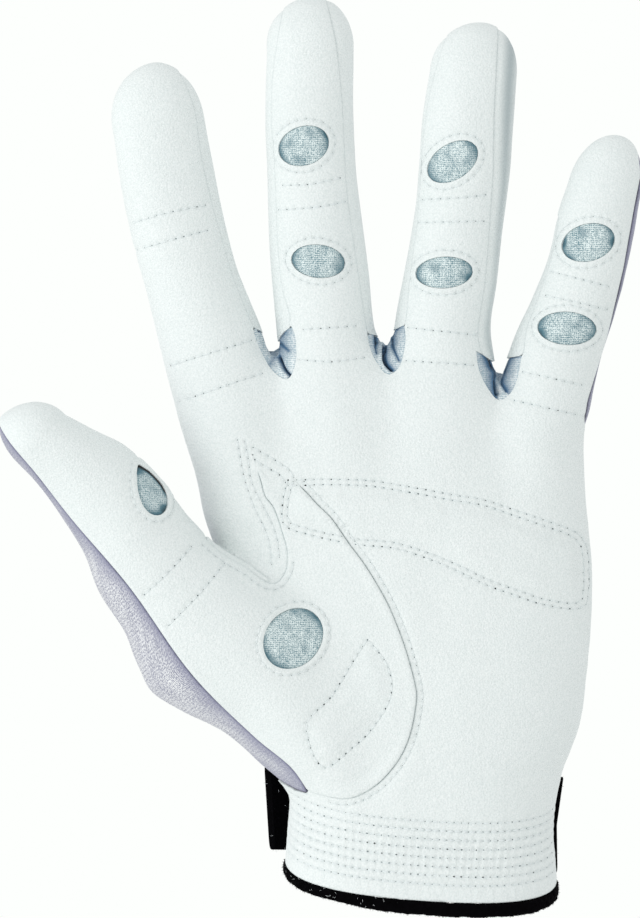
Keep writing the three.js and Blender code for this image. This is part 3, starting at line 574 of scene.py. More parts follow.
def cut_out(points, faces, field):
    """The part of a mesh where a field is positive. Points close to its edge are moved onto the edge, and a
    face across the edge is cut where the field is zero."""
    value = field(points)
    close = np.flatnonzero(np.abs(value) < 0.3 * SKIN_STEP)
    points, value = points.copy(), value.copy()
    spot = points[close]
    for _ in range(2):
        g = slope_of(field, spot)
        n = unit(slope_of(hand_distance, spot))
        g = g - n * (g * n).sum(1)[:, None]
        move = -g * (field(spot) / np.maximum((g**2).sum(1), 0.15))[:, None]
        size = np.linalg.norm(move, axis=1)
        spot = spot + move * np.minimum(1, 0.5 / np.maximum(size, 1e-9))[:, None]
    spot = onto_skin(spot, 1)
    good = np.abs(field(spot)) < 0.05
    points[close[good]], value[close[good]] = spot[good], 0.0
    inside = value >= 0
    count = inside[faces].sum(1)
    strictly = (value[faces] > 0).any(1)
    kept = faces[(count == 3) & strictly]
    mixed = faces[(count > 0) & (count < 3) & strictly]
    state = inside[mixed]
    lone = np.where(state.sum(1) == 1, state.argmax(1), (~state).argmax(1))
    turned = np.stack([mixed[np.arange(len(mixed)), (lone + i) % 3] for i in range(3)], 1)
    alone_in = state.sum(1) == 1

    edges = np.vstack([turned[:, [0, 1]], turned[:, [0, 2]]])
    key = np.sort(edges, 1)
    unique, back = np.unique(key[:, 0].astype(np.int64) * len(points) + key[:, 1], return_inverse=True)
    a, b = unique // len(points), unique % len(points)
    t = value[a] / np.where(value[a] == value[b], 1, value[a] - value[b])
    fresh = onto_skin(points[a] + np.clip(t, 0, 1)[:, None] * (points[b] - points[a]), 1)
    number = np.where(value[a] == 0, a, np.where(value[b] == 0, b, len(points) + np.arange(len(a))))
    number = number[back.ravel()]
    first, second = number[:len(turned)], number[len(turned):]
    tips = np.stack([turned[:, 0], first, second], 1)[alone_in]
    wide_one = np.stack([turned[:, 1], turned[:, 2], second], 1)[~alone_in]
    wide_two = np.stack([turned[:, 1], second, first], 1)[~alone_in]
    points = np.vstack([points, fresh])
    faces = np.vstack([kept, tips, wide_one, wide_two])
    faces = faces[(faces[:, 0] != faces[:, 1]) & (faces[:, 1] != faces[:, 2]) & (faces[:, 2] != faces[:, 0])]
    return packed(points, faces)


def packed(points, faces):
    """The mesh without its unused points."""
    used, back = np.unique(faces, return_inverse=True)
    return points[used], back.reshape(faces.shape)


def largest(points, faces):
    """The largest joined part of a mesh, found by passing the least point number along the faces."""
    label = np.arange(len(points))
    while True:
        least = label[faces].min(1)
        fresh = label.copy()
        np.minimum.at(fresh, faces.ravel(), np.repeat(least, 3))
        fresh = fresh[fresh]
        if np.array_equal(fresh, label):
            break
        label = fresh
    names, counts = np.unique(label[faces[:, 0]], return_counts=True)
    return packed(points, faces[label[faces[:, 0]] == names[counts.argmax()]])


def border(faces):
    """Edges that only one face has, in that face's direction."""
    edges = np.vstack([faces[:, [0, 1]], faces[:, [1, 2]], faces[:, [2, 0]]])
    size = faces.max() + 1
    key = edges.min(1).astype(np.int64) * size + edges.max(1)
    _, back, counts = np.unique(key, return_inverse=True, return_counts=True)
    return edges[counts[back.ravel()] == 1]


def finer(points, faces, level, passes=2):
    """The mesh with edges halved near the sewing: in each pass an edge is halved if the level at its middle
    is more than the pass's number, border edges never, and each face is cut to match its edges."""
    for one in range(passes):
        size = len(points)
        edges = np.vstack([faces[:, [0, 1]], faces[:, [1, 2]], faces[:, [2, 0]]])
        key = edges.min(1).astype(np.int64) * size + edges.max(1)
        unique, back, counts = np.unique(key, return_inverse=True, return_counts=True)
        back = back.ravel()
        a, b = unique // size, unique % size
        middle = (points[a] + points[b]) / 2
        split = (level(middle) > one) & (counts == 2)
        fresh = onto_skin(middle[split], 1)
        number = -np.ones(len(unique), int)
        number[split] = size + np.arange(split.sum())
        mark = number[back].reshape(3, -1).T
        points = np.vstack([points, fresh])
        halved = (mark >= 0).sum(1)
        start = np.where(halved == 1, (mark >= 0).argmax(1), ((mark < 0).argmax(1) + 1) % 3)
        start = np.where((halved == 0) | (halved == 3), 0, start)
        pick = (start[:, None] + np.arange(3)) % 3
        f, m = np.take_along_axis(faces, pick, 1), np.take_along_axis(mark, pick, 1)
        none, single, double, triple = (halved == n for n in range(4))
        v, w = f[single], m[single]
        parts = [f[none], np.stack([v[:, 0], w[:, 0], v[:, 2]], 1), np.stack([w[:, 0], v[:, 1], v[:, 2]], 1)]
        v, w = f[double], m[double]
        parts += [np.stack([w[:, 0], v[:, 1], w[:, 1]], 1), np.stack([v[:, 0], w[:, 0], w[:, 1]], 1),
                  np.stack([v[:, 0], w[:, 1], v[:, 2]], 1)]
        v, w = f[triple], m[triple]
        parts += [np.stack([v[:, 0], w[:, 0], w[:, 2]], 1), np.stack([w[:, 0], v[:, 1], w[:, 1]], 1),
                  np.stack([w[:, 2], w[:, 1], v[:, 2]], 1), np.stack([w[:, 0], w[:, 1], w[:, 2]], 1)]
        faces = np.vstack(parts)
    return points, faces


def ripples(p, wave, seed, count=7):
    """Soft unevenness from minus one to one: a mean of sine waves of one length in scattered directions."""
    own = np.random.default_rng(seed)
    way = unit(own.normal(size=(count, 3))) * (2 * math.pi / wave) * own.uniform(0.75, 1.3, (count, 1))
    return np.sin(p @ way.T + own.uniform(0, 2 * math.pi, count)).sum(1) / math.sqrt(count) / 1.4


def hump(d, width):
    """A bell curve of a distance: one at nothing, falling off over the width."""
    return np.exp(-((d / width) ** 2))


def offset_line(line, away):
    """A line moved sideways by a distance, along its own normals in the front view."""
    way = unit(np.gradient(line, axis=0))
    return line + np.column_stack([-way[:, 1], way[:, 0]]) * away


PALM_PAD_LINE = even_line(PALM_PAD, 1.0)
THENAR_PAD_LINE = even_line(THENAR_PAD, 1.0)
THENAR_LINE = even_line(THENAR_SEAM, 1.0)
TONGUE_LINE = even_line(TONGUE_SEAM, 1.0)
GUSSET_LINE = TONGUE_LINE[(TONGUE_LINE[:, 0] < -37.5) & (TONGUE_LINE[:, 1] < 84)]

# Every sewn row: which panel it is in, its line, and how dark its needle holes look, 0 to 1, by the size of
# their painted shadows
PAD_TURN = 76  # where the pad's outline turns from its upper edge to its lower one
UPPER, LOWER = slice(0, PAD_TURN), slice(PAD_TURN - 1, None)
PAD_INNER_LINE = offset_line(PALM_PAD_LINE, -1.3)
PAD_ROWS = [(PALM_PAD_LINE[UPPER], 0.6), (PALM_PAD_LINE[LOWER], 1.0),
            (PAD_INNER_LINE[UPPER], 1.0), (PAD_INNER_LINE[LOWER], 0.55)]
SEWN = [("palm_leather", even_line(line, 1.0), 0.55) for line in PALM_SEWING]
SEWN += [("palm_leather", even_line(line, 1.0), 0.3) for line in TONGUE_SEWING]
SEWN += [("thumb_leather", even_line(line, 1.0), 0.6) for line in THUMB_SEWING]
SEWN += [(panel, line, dark) for panel in ("palm_leather", "thumb_leather") for line, dark in PAD_ROWS]
SEWN += [("thumb_leather", THENAR_PAD_LINE, 0.95)]
SEWN += [("palm_leather", offset_line(THENAR_LINE, -1.5)[6:-14], 0.3)]
SEWN += [("thumb_leather", offset_line(TONGUE_LINE, 1.5)[28:], 0.15)]
SEWN += [("thumb_leather" if name.startswith("window_th") else "palm_leather",
          even_line(np.vstack([oval(*one, grow=1.6), oval(*one, grow=1.6)[:1]]), 0.9, False), 0.12)
         for name, one in WINDOWS.items()]


def sewing_at(name, p, reach=2.5):
    """For each point of a panel, the distance to its nearest sewn row and how deep a stitch pulls there."""
    away, pull = np.full(len(p), 1e3), np.zeros(len(p))
    facing, flat = p[:, 1] < 3, seen(p)
    for panel, line, _ in SEWN:
        if panel != name:
            continue
        d, along = line_distance(line, flat, reach)
        d = np.abs(d)
        length = np.hypot(*np.diff(line, axis=0).T).sum()
        pitch = length / max(int(round(length / STITCH)), 1)
        d = np.where(facing, d, 1e3)
        closer = d < away
        away = np.where(closer, d, away)
        pull = np.where(closer, 0.5 + 0.5 * np.cos(2 * math.pi * along / pitch), pull)
    return away, pull


def cuff_at(p):
    """Height over the wrist's edge, and how much a point belongs to the gathered front of the cuff."""
    up = p[:, 2] - rim_height(p[:, 0], p[:, 1])
    front = ease(-p[:, 1], -2, 9)
    return up, front * ease(21.5 - up, 0, 2.5) * ease(up, 0.5, 2)


# Soft creases in the leather: panel, line in the front view, depth and width
CREASES = [
    ("thumb_leather", [(-27, 24), (-20, 22), (-13, 24.5), (-7.5, 31)], 0.16, 0.9),
    ("thumb_leather", [(-24, 27), (-17, 25.5), (-11.5, 29.5)], 0.1, 0.8),
    ("thumb_leather", [(-46, 73.5), (-41, 68), (-34, 64.5)], 0.16, 1.6),
    ("palm_leather", [(-1, 33), (2, 42), (0, 52)], 0.14, 1.8),
    ("palm_leather", [(-44, 84), (-40.5, 79.5), (-37.5, 75)], 0.22, 1.4),
    ("palm_leather", [(40.4, 82), (37.6, 79.6), (35.5, 78.9)], 0.2, 0.7),
    ("palm_leather", [(40.6, 73), (37.8, 72.2), (35.2, 72.4)], 0.22, 0.7),
    ("palm_leather", [(40.3, 68), (37.2, 67.4), (33.5, 67.8)], 0.2, 0.7),
    ("palm_leather", [(39.2, 88), (33, 89), (28, 91.2)], 0.14, 1.2),
    ("palm_leather", [(-36, 116), (-31, 112.5), (-25, 111)], 0.14, 1.6),
    ("palm_leather", [(-9, 117), (-3, 113), (4, 111.5)], 0.12, 1.6),
    ("palm_leather", [(19, 111.5), (25, 108), (33, 106)], 0.14, 1.6),
    ("palm_leather", [(-33, 22), (-28, 17), (-20, 14.5)], 0.14, 1.0),
]


def leather_relief(name, p):
    """Height of the leather over the plain skin, and its painted shade: sewn rows pull it down, seams roll
    it under, pads and window rims lift it, and the cuff's elastic rows gather it into small upright folds."""
    away, pull = sewing_at(name, p)
    inside, flat, front = region(name, p), seen(p), p[:, 1] < -3
    lift = -(ROW["bed"] + ROW["pull"] * pull) * hump(away, ROW["width"])
    lift -= ROW["dish"] * hump(away, ROW["reach"])
    shade = ROW["shade"] * pull * hump(away, ROW["line"])
    if name in STRIPS:
        inside = outline_distance(STRIP_OUTLINE[name], p[:, [0, 2]])
    by_window = ease(-windows_at(p), 0.2, 0.8) * ease(-webs_at(p), 0.1, 0.6)
    under = (1 - np.clip(inside / SEAM["turn"], 0, 1)) * seam_strength(p) * (0.45 + 0.55 * by_window)
    lift -= SEAM["roll"] * (1 - np.sqrt(np.maximum(1 - under**2, 0)))
    shade += SEAM["shade"] * hump(inside, SEAM["line"]) * seam_strength(p) * by_window
    for panel_name, line, depth, width in CREASES:
        if panel_name == name:
            lift -= depth * hump(line_distance(curve(line, 14), flat, 4 * width)[0], width) * front
    if name in ("palm_leather", "thumb_leather"):
        for window, one in WINDOWS.items():
            if window.startswith("window_th") != (name == "thumb_leather"):
                continue
            d = -outline_distance(WINDOW_OUTLINE[window], flat)
            lift += 0.06 * hump(d - 0.8, 0.6) * (d < 3.5) * (p[:, 1] < one[5])
        lift += 0.16 * ripples(p, 17, 3) * ease(inside, 0, 6) + 0.045 * ripples(p, 6, 4) * ease(inside, 0, 3)
        lift += 0.02 * ripples(p, 2.6, 6) * ease(inside, 0, 2)
        pad = outline_distance(PALM_PAD_LINE, flat, 5)
        lift += PAD_RISE * ease(pad, 1.3, 5) * front
    if name == "palm_leather":
        seam = outline_distance(THUMB_OUTLINE, flat)
        lift -= 0.3 * ease(seam, -3.2, -0.1) * seam_strength(p) * front
        beside = np.abs(line_distance(GUSSET_LINE, flat)[0])
        lift += (0.5 * hump(beside - 0.6, 0.35) - 0.15 * hump(beside - 1.3, 0.3)) * front
        # a painted line of shade beside the gusset's lip
        shade += 0.2 * hump(beside - 1.25, 0.18) * front
        up, part = cuff_at(p)
        nearest = np.abs(up[:, None] - np.array(CUFF_ROWS)).argmin(1)
        d = up - np.array(CUFF_ROWS)[nearest]
        folds = np.sin(2 * math.pi * p[:, 0] / GATHER["folds"] + 1.7 * nearest + 1.5 * ripples(p, 14, 8))
        fine = np.sin(2 * math.pi * p[:, 0] / CUFF_STITCH + 0.9 * nearest)
        even = np.sin(2 * math.pi * p[:, 0] / CUFF_STITCH)
        above = np.sin(2 * math.pi * p[:, 0] / GATHER["above"] + 2 * ripples(p, 20, 9))
        band = ease(19.9 - up, 0, 1.4)
        drawn = GATHER["depth"] * hump(d, GATHER["width"]) * (1 + 0.5 * fine)
        puffed = GATHER["small"] * folds * (1 - 0.6 * hump(d, 0.5)) + GATHER["small"] * even
        lift += part * band * (puffed - drawn)
        shade += part * band * GATHER["shade"] * hump(d, 0.3)
        lift += part * (1 - band) * GATHER["large"] * above
    if name == "thumb_leather":
        lift += 0.45 * ease(outline_distance(THENAR_PAD_LINE, flat, 5), 0.2, 3.5) * front
        lift += 0.22 * hump(inside - 0.9, 0.9) * seam_strength(p) * front
    if name in STRIPS:
        lift += -0.3 * hump(inside, 1.1) + 0.05 * ripples(p, 9, 5)
    # Painted shade: the ring finger's right strip darkens towards its outer edge, turned away from the light
    if name == "side_strip_ring_right":
        shade += 0.7 * ease(inside, 0.6, 3.4)
    return lift, np.clip(shade, 0, 1)


# Folds of the small stretch webs: line in the front view going up, depth, darkness of the shadow painted
# beside it, and how far that painted shadow reaches to its left and to its right
WEB_FOLDS = {
    "web_index_middle": [([(-31.4, 119.6), (-33, 121.4), (-34.4, 124.4)], 1.1, 1.0, 0.25, 0.3),
                         ([(-34.6, 126.2), (-34.6, 128.4), (-33, 130.4)], 0.3, 0.45, 0.3, 1.4),
                         ([(-38.9, 130.6), (-39.3, 132.2)], 0.6, 1.0, 0.25, 0.3),
                         ([(-32.2, 125.8), (-34.2, 127.6)], 0.3, 0.4, 0.4, 0.7),
                         ([(-36.6, 122.4), (-35.4, 124.2)], 0.15, 0.35, 0.8, 0.8)],
    "web_middle_ring": [([(-7.4, 121.2), (-8.6, 122.5), (-9.1, 124), (-9, 127)], 1.1, 0.95, 0.25, 0.7),
                        ([(-10.9, 128), (-11, 130.2)], 0.8, 1.0, 0.5, 0.5),
                        ([(-10.8, 125.4), (-11.1, 128.4)], 0.5, 0.65, 0.6, 0.3),
                        ([(-5.7, 123.6), (-7, 126.4), (-7.6, 128.6)], 0.5, 0.6, 0.25, 0.45),
                        ([(-7.4, 128.8), (-7.1, 130.4), (-5.6, 131.8)], 0.2, 0.55, 0.3, 1.3)],
    "web_ring_little": [([(17.9, 115.4), (17.5, 117.8), (17.8, 121), (16.9, 122.4), (15.8, 125)],
                         0.3, 0.75, 1.5, 0.2),
                        ([(17.9, 115.4), (17.5, 118.2)], 1.1, 0.8, 0.3, 0.3),
                        ([(16.9, 122.4), (16, 124.8)], 0.3, 0.95, 0.6, 0.3),
                        ([(20, 116.2), (18.8, 118.6), (20.6, 123.9)], 0.4, 0.7, 0.2, 1.2),
                        ([(20.6, 124.3), (23.6, 124.5)], 0.2, 0.35, 0.2, 0.3)],
}
# The crotch between two fingers: the lower edge of the open gap in the front view, as height over x
WEB_NOTCHES = {
    "web_index_middle": [
        (-40, 136), (-38.7, 132.5), (-38.2, 129.5), (-37.4, 126.9), (-36.3, 124.9), (-35.3, 124.5),
        (-34.5, 124.8), (-34.2, 127), (-34, 130), (-32, 132), (-31, 136)],
    "web_middle_ring": [
        (-13, 134), (-11.3, 129.8), (-10.4, 128.8), (-10.1, 128), (-9.3, 128), (-9, 127.2),
        (-7.9, 127.2), (-7.6, 128.6), (-7.2, 130.3), (-6, 131.8), (-5, 136)],
    "web_ring_little": [
        (14, 130), (16.6, 123.6), (17, 122.1), (17.7, 120.9), (17.9, 119.1), (18.3, 118.5),
        (18.8, 118.7), (19.6, 121), (20.5, 123.3), (21.4, 125), (24, 130)],
}


def notched(name, p):
    """A web's points lowered to the lower edge of the open gap where they show above it."""
    line, flat = np.array(WEB_NOTCHES[name], float), seen(p)
    over = flat[:, 1] - np.interp(flat[:, 0], line[:, 0], line[:, 1])
    drop = 0.5 * (over + np.sqrt(over**2 + 0.04))
    return p - np.column_stack([np.zeros(len(p)), np.zeros(len(p)), drop])


def knit_relief(name, p):
    """Height of the knit over the plain skin, and its painted shade: it lies a little under the leather,
    dips at its own seams, bellies out in the windows, and is drawn into folds in the webs."""
    inside, flat = region(name, p), seen(p)
    small = name in WINDOWS or name in WEBS
    lift = -(0.12 if small else KNIT_SUNK) - (0.1 if small else 0.2) * hump(inside, 0.5)
    # Painted shade: a dark line along the knit's seams, strong on the back and thumb knit
    shade = (0.04 if small else 0.8) * hump(inside, 0.3)
    if name in WINDOWS:
        lift += -0.12 * hump(inside, 0.7) + 0.2 * ease(inside, 0.3, 3.5) + 0.08 * ripples(p, 5, 12)
        x, z, long, _, tilt = WINDOWS[name][:5]
        lean = math.radians(tilt)
        along = ((flat[:, 0] - x) * math.cos(lean) + (flat[:, 1] - z) * math.sin(lean)) / long
        # Painted shade: darker at the window's two ends and in soft patches
        shade += 0.42 * hump(inside, 1.6) * ease(np.abs(along), 0.5, 0.95)
        shade += 0.24 * ease(ripples(p, 4, 40), 0, 1.2)
    if name == "window_thumb":
        d = flap_at(flat)
        lift += 0.25 * hump(d, 0.6)
        # Painted shadow in the gap along the edge where the flap stands open, and the whole window a little
        # darker
        shade += 1.6 * hump(d - 0.1, 0.36) * ease(flat[:, 1], 90.5, 93) + 0.12
    if name in WEBS:
        # Painted shade: darker inwards from the web's edge, and a painted shadow beside each fold
        shade += 0.04 * ease(inside, 0.5, 2.5)
        for line, depth, dark, left, right in WEB_FOLDS[name]:
            d = line_distance(curve(line, 12), flat)[0]
            lift += -depth * hump(d, 0.3) + 0.25 * depth * hump(d + 0.75, 0.4)
            shade += dark * np.exp(-np.abs(d) / np.where(d < 0, left, right))
        lift += 0.14 * ripples(p, 3.2, 13)
    if name in ("back_knit", "thumb_knit"):
        lift += 0.16 * ripples(p, 22, 15) * ease(inside, 0, 6) + 0.05 * ripples(p, 8, 16)
        # Painted shade: darker near the seams, in soft patches, and along the little finger's side
        shade += (0.38 if name == "thumb_knit" else 0.16) * hump(inside, 2.6)
        shade += 0.04 * ease(ripples(p, 12, 31), -0.6, 1)
        by_little = ease(flat[:, 0], 34, 36) * ease(-p[:, 1], -3, 7)
        shade += (0.3 + 0.5 * hump(inside, 0.5)) * by_little
    return lift, np.clip(shade, 0, 1)


def arc(turn, wide, deep, steps=16):
    """Length along an oval from its back to a turn: a sum of short steps, each by the rule of sides."""
    share = (np.arange(steps) + 0.5) / steps
    a = math.pi / 2 + (turn - math.pi / 2)[:, None] * share
    step = np.sqrt((wide[:, None] * np.sin(a)) ** 2 + (deep[:, None] * np.cos(a)) ** 2)
    return step.sum(1) * (turn - math.pi / 2) / steps


def round_section(across, out, wide, deep):
    """Length round a section from the middle of its back, growing with the width direction."""
    turn = np.arctan2(out / deep, across / wide)
    return -arc(np.where(turn < -math.pi / 2, turn + 2 * math.pi, turn), wide, deep)


def cloth_place(name, p):
    """Where points lie in the flat cloth: round the section and along it. On the back the places of hand and
    fingers are mixed by how near each is, so that the ribs run on from one to the other."""
    if name not in ("back_knit", "thumb_knit"):
        return p
    if name == "thumb_knit":
        along, across, (shift, depth, wide, deep) = limb_section(LIMBS["thumb"], p)
        girth = round_section(across - shift, p[:, 1] - depth, wide, deep)
        return np.column_stack([girth, p[:, 1] * 0, along])
    rows = np.array(PALM_ROWS, float)
    left, right, front, back = cubic(rows[:, 0], rows[:, 1:], np.clip(p[:, 2], rows[0, 0], rows[-1, 0])).T
    x, y = (left + right) / 2, (front + back) / 2
    total = x + round_section(p[:, 0] - x, p[:, 1] - y, (right - left) / 2, (back - front) / 2)
    nearness = np.exp(-np.clip(palm_distance(p), 0, 40) / 1.5)
    total, weight = total * nearness, nearness
    for finger, limb in LIMBS.items():
        if finger == "thumb":
            continue
        _, across, (shift, depth, wide, deep) = limb_section(limb, p)
        girth = round_section(across - shift, p[:, 1] - depth, wide, deep)
        nearness = np.exp(-np.clip(limb_distance(limb, p), 0, 40) / 1.5)
        total = total + (p[:, 0] - across + shift + girth) * nearness
        weight = weight + nearness
    return np.column_stack([total / np.maximum(weight, 1e-9), p[:, 1] * 0, p[:, 2]])


WAVE = PER_MM * 2 * math.pi / 20  # a wave texture's scale for bands one millimetre apart


def linear(code):
    """A colour from its sRGB hex value, turned linear."""
    parts = np.array([int(code[i:i + 2], 16) / 255 for i in (1, 3, 5)])
    return tuple(np.where(parts <= 0.04045, parts / 12.92, ((parts + 0.055) / 1.055) ** 2.4)) + (1.0,)


def add(material, kind, inputs=(), **settings):
    """One node: its settings, then each input as a value or as a link from another node's output."""
    made = material.node_tree.nodes.new(kind)
    for key, value in settings.items():
        setattr(made, key, value)
    for key, value in dict(inputs).items():
        if isinstance(value, bpy.types.NodeSocket):
            material.node_tree.links.new(value, made.inputs[key])
        else:
            made.inputs[key].default_value = value
    return made


def new_material(name):
    """A material that has no nodes yet."""
    made = bpy.data.materials.new(name)
    made.use_nodes = True
    made.node_tree.nodes.clear()
    return made


def finish_with(material, shader):
    """The material with its shader set as its surface."""
    add(material, "ShaderNodeOutputMaterial", {"Surface": shader.outputs[0]})
    return material


def white_leather():
    """Thin drum-dyed sheepskin: cool white, a fine pebbled grain about half a millimetre across, a soft low
    gloss, and painted shade that greys it in seams, sewn rows, creases and folds."""
    m = new_material("white_leather")
    place = add(m, "ShaderNodeTexCoord").outputs["Object"]
    painted_shade = add(m, "ShaderNodeAttribute", attribute_name="painted_shade").outputs["Fac"]
    cloud = add(m, "ShaderNodeTexNoise", {"Vector": place, "Scale": 0.07 * PER_MM,
                                          "Detail": 3.0}).outputs["Fac"]
    speck = add(m, "ShaderNodeTexNoise", {"Vector": place, "Scale": 2.4 * PER_MM,
                                          "Detail": 2.0}).outputs["Fac"]
    mixed = add(m, "ShaderNodeMix", {0: cloud, 6: linear("#edf2f1"), 7: linear("#f3f7f6")}, data_type="RGBA")
    spotted = add(m, "ShaderNodeMapRange", {0: speck, 1: 0.38, 2: 0.62, 3: 0.0, 4: 0.5})
    grained = add(m, "ShaderNodeMix", {0: spotted.outputs[0], 6: mixed.outputs[2], 7: linear("#dce5e4")},
                  data_type="RGBA")
    # Painted shade: the tone goes to grey-blue where the relief's painted shade is high
    painted_shade_tone = add(m, "ShaderNodeMix", {0: painted_shade, 6: grained.outputs[2], 7: linear("#95a5a9")},
               data_type="RGBA")
    pebble = add(m, "ShaderNodeTexVoronoi", {"Vector": place, "Scale": 2.0 * PER_MM},
                 feature="F1").outputs["Distance"]
    crease = add(m, "ShaderNodeTexNoise", {"Vector": place, "Scale": 1.0 * PER_MM,
                                           "Detail": 3.0}).outputs["Fac"]
    height = add(m, "ShaderNodeMath", {0: pebble, 1: crease}, operation="ADD").outputs[0]
    bump = add(m, "ShaderNodeBump", {"Height": height, "Strength": 0.6, "Distance": 0.2 * MM}).outputs[0]
    return finish_with(m, add(m, "ShaderNodeBsdfPrincipled", {
        "Base Color": painted_shade_tone.outputs[2], "Roughness": 0.52, "IOR": 1.46, "Specular IOR Level": 0.35,
        "Normal": bump, "Subsurface Weight": 0.0}))


def ribbed_knit(name, light, dark, shadow, deep, wale, course, sheen, cross, fuzz, grain=2.6,
                low=0.95):
    """Warp-knit stretch cloth: columns of loops and courses across them, each a ridge, with painted shade
    that makes it paler on the ridges and darker between, painted streaks of sheen, and a soft sheen at the
    edges of the form. Wale and course are its pitches in millimetres, drawn a little coarser than the real
    cloth's
    0.3 mm so that they show; cross is the courses' share, fuzz how much single bright filaments break the
    ribs up, and grain how many specks of them lie in a millimetre; low is where the dark ends. The painted
    shade of folds, seams and gaps takes the colour to shadow, then to deep shadow."""
    m = new_material(name)
    place = add(m, "ShaderNodeAttribute", attribute_name="cloth").outputs["Vector"]
    painted_shade = add(m, "ShaderNodeAttribute", attribute_name="painted_shade").outputs["Fac"]
    ribs = {"Vector": place, "Distortion": 1.2, "Detail": 1.0, "Detail Scale": 2.0}
    columns = add(m, "ShaderNodeTexWave", {**ribs, "Scale": WAVE / wale},
                  bands_direction="X").outputs["Fac"]
    courses = add(m, "ShaderNodeTexWave", {**ribs, "Scale": WAVE / course},
                  bands_direction="Z").outputs["Fac"]
    loops = add(m, "ShaderNodeMix", {0: cross, 2: columns, 3: courses}).outputs[0]
    speck = add(m, "ShaderNodeTexNoise", {"Vector": place, "Scale": grain * PER_MM,
                                          "Detail": 1.0}).outputs["Fac"]
    bright = add(m, "ShaderNodeMapRange", {0: speck, 1: 0.5 - 0.25 / fuzz, 2: 0.5 + 0.25 / fuzz,
                                           3: 0.0, 4: 1.0})
    height = add(m, "ShaderNodeMath", {0: loops, 1: bright.outputs[0]}, operation="ADD").outputs[0]
    # Painted sheen: noise stretched along the cloth's height makes streaks in the tone
    sheened = add(m, "ShaderNodeMapping", {"Vector": place, "Scale": (1.0, 1.0, 0.28)}).outputs[0]
    painted_sheen_streak = add(m, "ShaderNodeTexNoise", {"Vector": sheened, "Scale": 0.42 * PER_MM,
                                           "Detail": 2.0}).outputs["Fac"]
    shine = add(m, "ShaderNodeMath", {0: height, 1: painted_sheen_streak}, operation="ADD").outputs[0]
    spread = add(m, "ShaderNodeMapRange", {0: shine, 1: low, 2: 2.0, 3: 0.0, 4: 1.0}).outputs[0]
    tone = add(m, "ShaderNodeMix", {0: spread, 6: linear(dark), 7: linear(light)}, data_type="RGBA")
    half = add(m, "ShaderNodeMapRange", {0: painted_shade, 1: 0.0, 2: 0.5, 3: 0.0, 4: 1.0}).outputs[0]
    rest = add(m, "ShaderNodeMapRange", {0: painted_shade, 1: 0.5, 2: 1.0, 3: 0.0, 4: 1.0}).outputs[0]
    shaded = add(m, "ShaderNodeMix", {0: half, 6: tone.outputs[2], 7: linear(shadow)}, data_type="RGBA")
    deep_painted_shade = add(m, "ShaderNodeMix", {0: rest, 6: shaded.outputs[2], 7: linear(deep)}, data_type="RGBA")
    bump = add(m, "ShaderNodeBump", {"Height": height, "Strength": 0.5, "Distance": 0.15 * MM}).outputs[0]
    return finish_with(m, add(m, "ShaderNodeBsdfPrincipled", {
        "Base Color": deep_painted_shade.outputs[2], "Roughness": 0.72, "IOR": 1.5, "Specular IOR Level": 0.25,
        "Sheen Weight": sheen, "Sheen Roughness": 0.4, "Normal": bump}))


def black_pile(name, code):
    """Brushed nylon tape: a black so deep that only its fibres catch a little light."""
    m = new_material(name)
    place = add(m, "ShaderNodeTexCoord").outputs["Object"]
    speck = add(m, "ShaderNodeTexNoise", {"Vector": place, "Scale": 0.9 * PER_MM,
                                          "Detail": 4.0}).outputs["Fac"]
    tone = add(m, "ShaderNodeMix", {0: speck, 6: linear("#000000"), 7: linear(code)}, data_type="RGBA")
    bump = add(m, "ShaderNodeBump", {"Height": speck, "Strength": 0.9, "Distance": 0.5 * MM}).outputs[0]
    return finish_with(m, add(m, "ShaderNodeBsdfPrincipled", {
        "Base Color": tone.outputs[2], "Roughness": 0.95, "Specular IOR Level": 0.04, "Normal": bump}))


def plain_thread(name, code, rough):
    """Twisted polyester thread: pale fibres of uneven brightness, each a small ridge."""
    m = new_material(name)
    place = add(m, "ShaderNodeTexCoord").outputs["Object"]
    twist = add(m, "ShaderNodeTexNoise", {"Vector": place, "Scale": 2.6 * PER_MM,
                                          "Detail": 2.0}).outputs["Fac"]
    tone = add(m, "ShaderNodeMix", {0: twist, 6: linear(code), 7: linear("#f4f8f8")}, data_type="RGBA")
    bump = add(m, "ShaderNodeBump", {"Height": twist, "Strength": 0.4, "Distance": 0.1 * MM}).outputs[0]
    return finish_with(m, add(m, "ShaderNodeBsdfPrincipled", {
        "Base Color": tone.outputs[2], "Roughness": rough, "Normal": bump}))


def needle_shadow():
    """Painted shadow in a needle hole: grey to near black, quite without gloss."""
    m = new_material("needle_hole")
    place = add(m, "ShaderNodeTexCoord").outputs["Object"]
    speck = add(m, "ShaderNodeTexNoise", {"Vector": place, "Scale": 0.35 * PER_MM,
                                          "Detail": 1.0}).outputs["Fac"]
    spread = add(m, "ShaderNodeMapRange", {0: speck, 1: 0.35, 2: 0.65, 3: 0.0, 4: 1.0}).outputs[0]
    tone = add(m, "ShaderNodeMix", {0: spread, 6: linear("#15191b"), 7: linear("#9aa7aa")}, data_type="RGBA")
    return finish_with(m, add(m, "ShaderNodeBsdfPrincipled", {
        "Base Color": tone.outputs[2], "Roughness": 1.0, "Specular IOR Level": 0.0}))


LEATHER = white_leather()
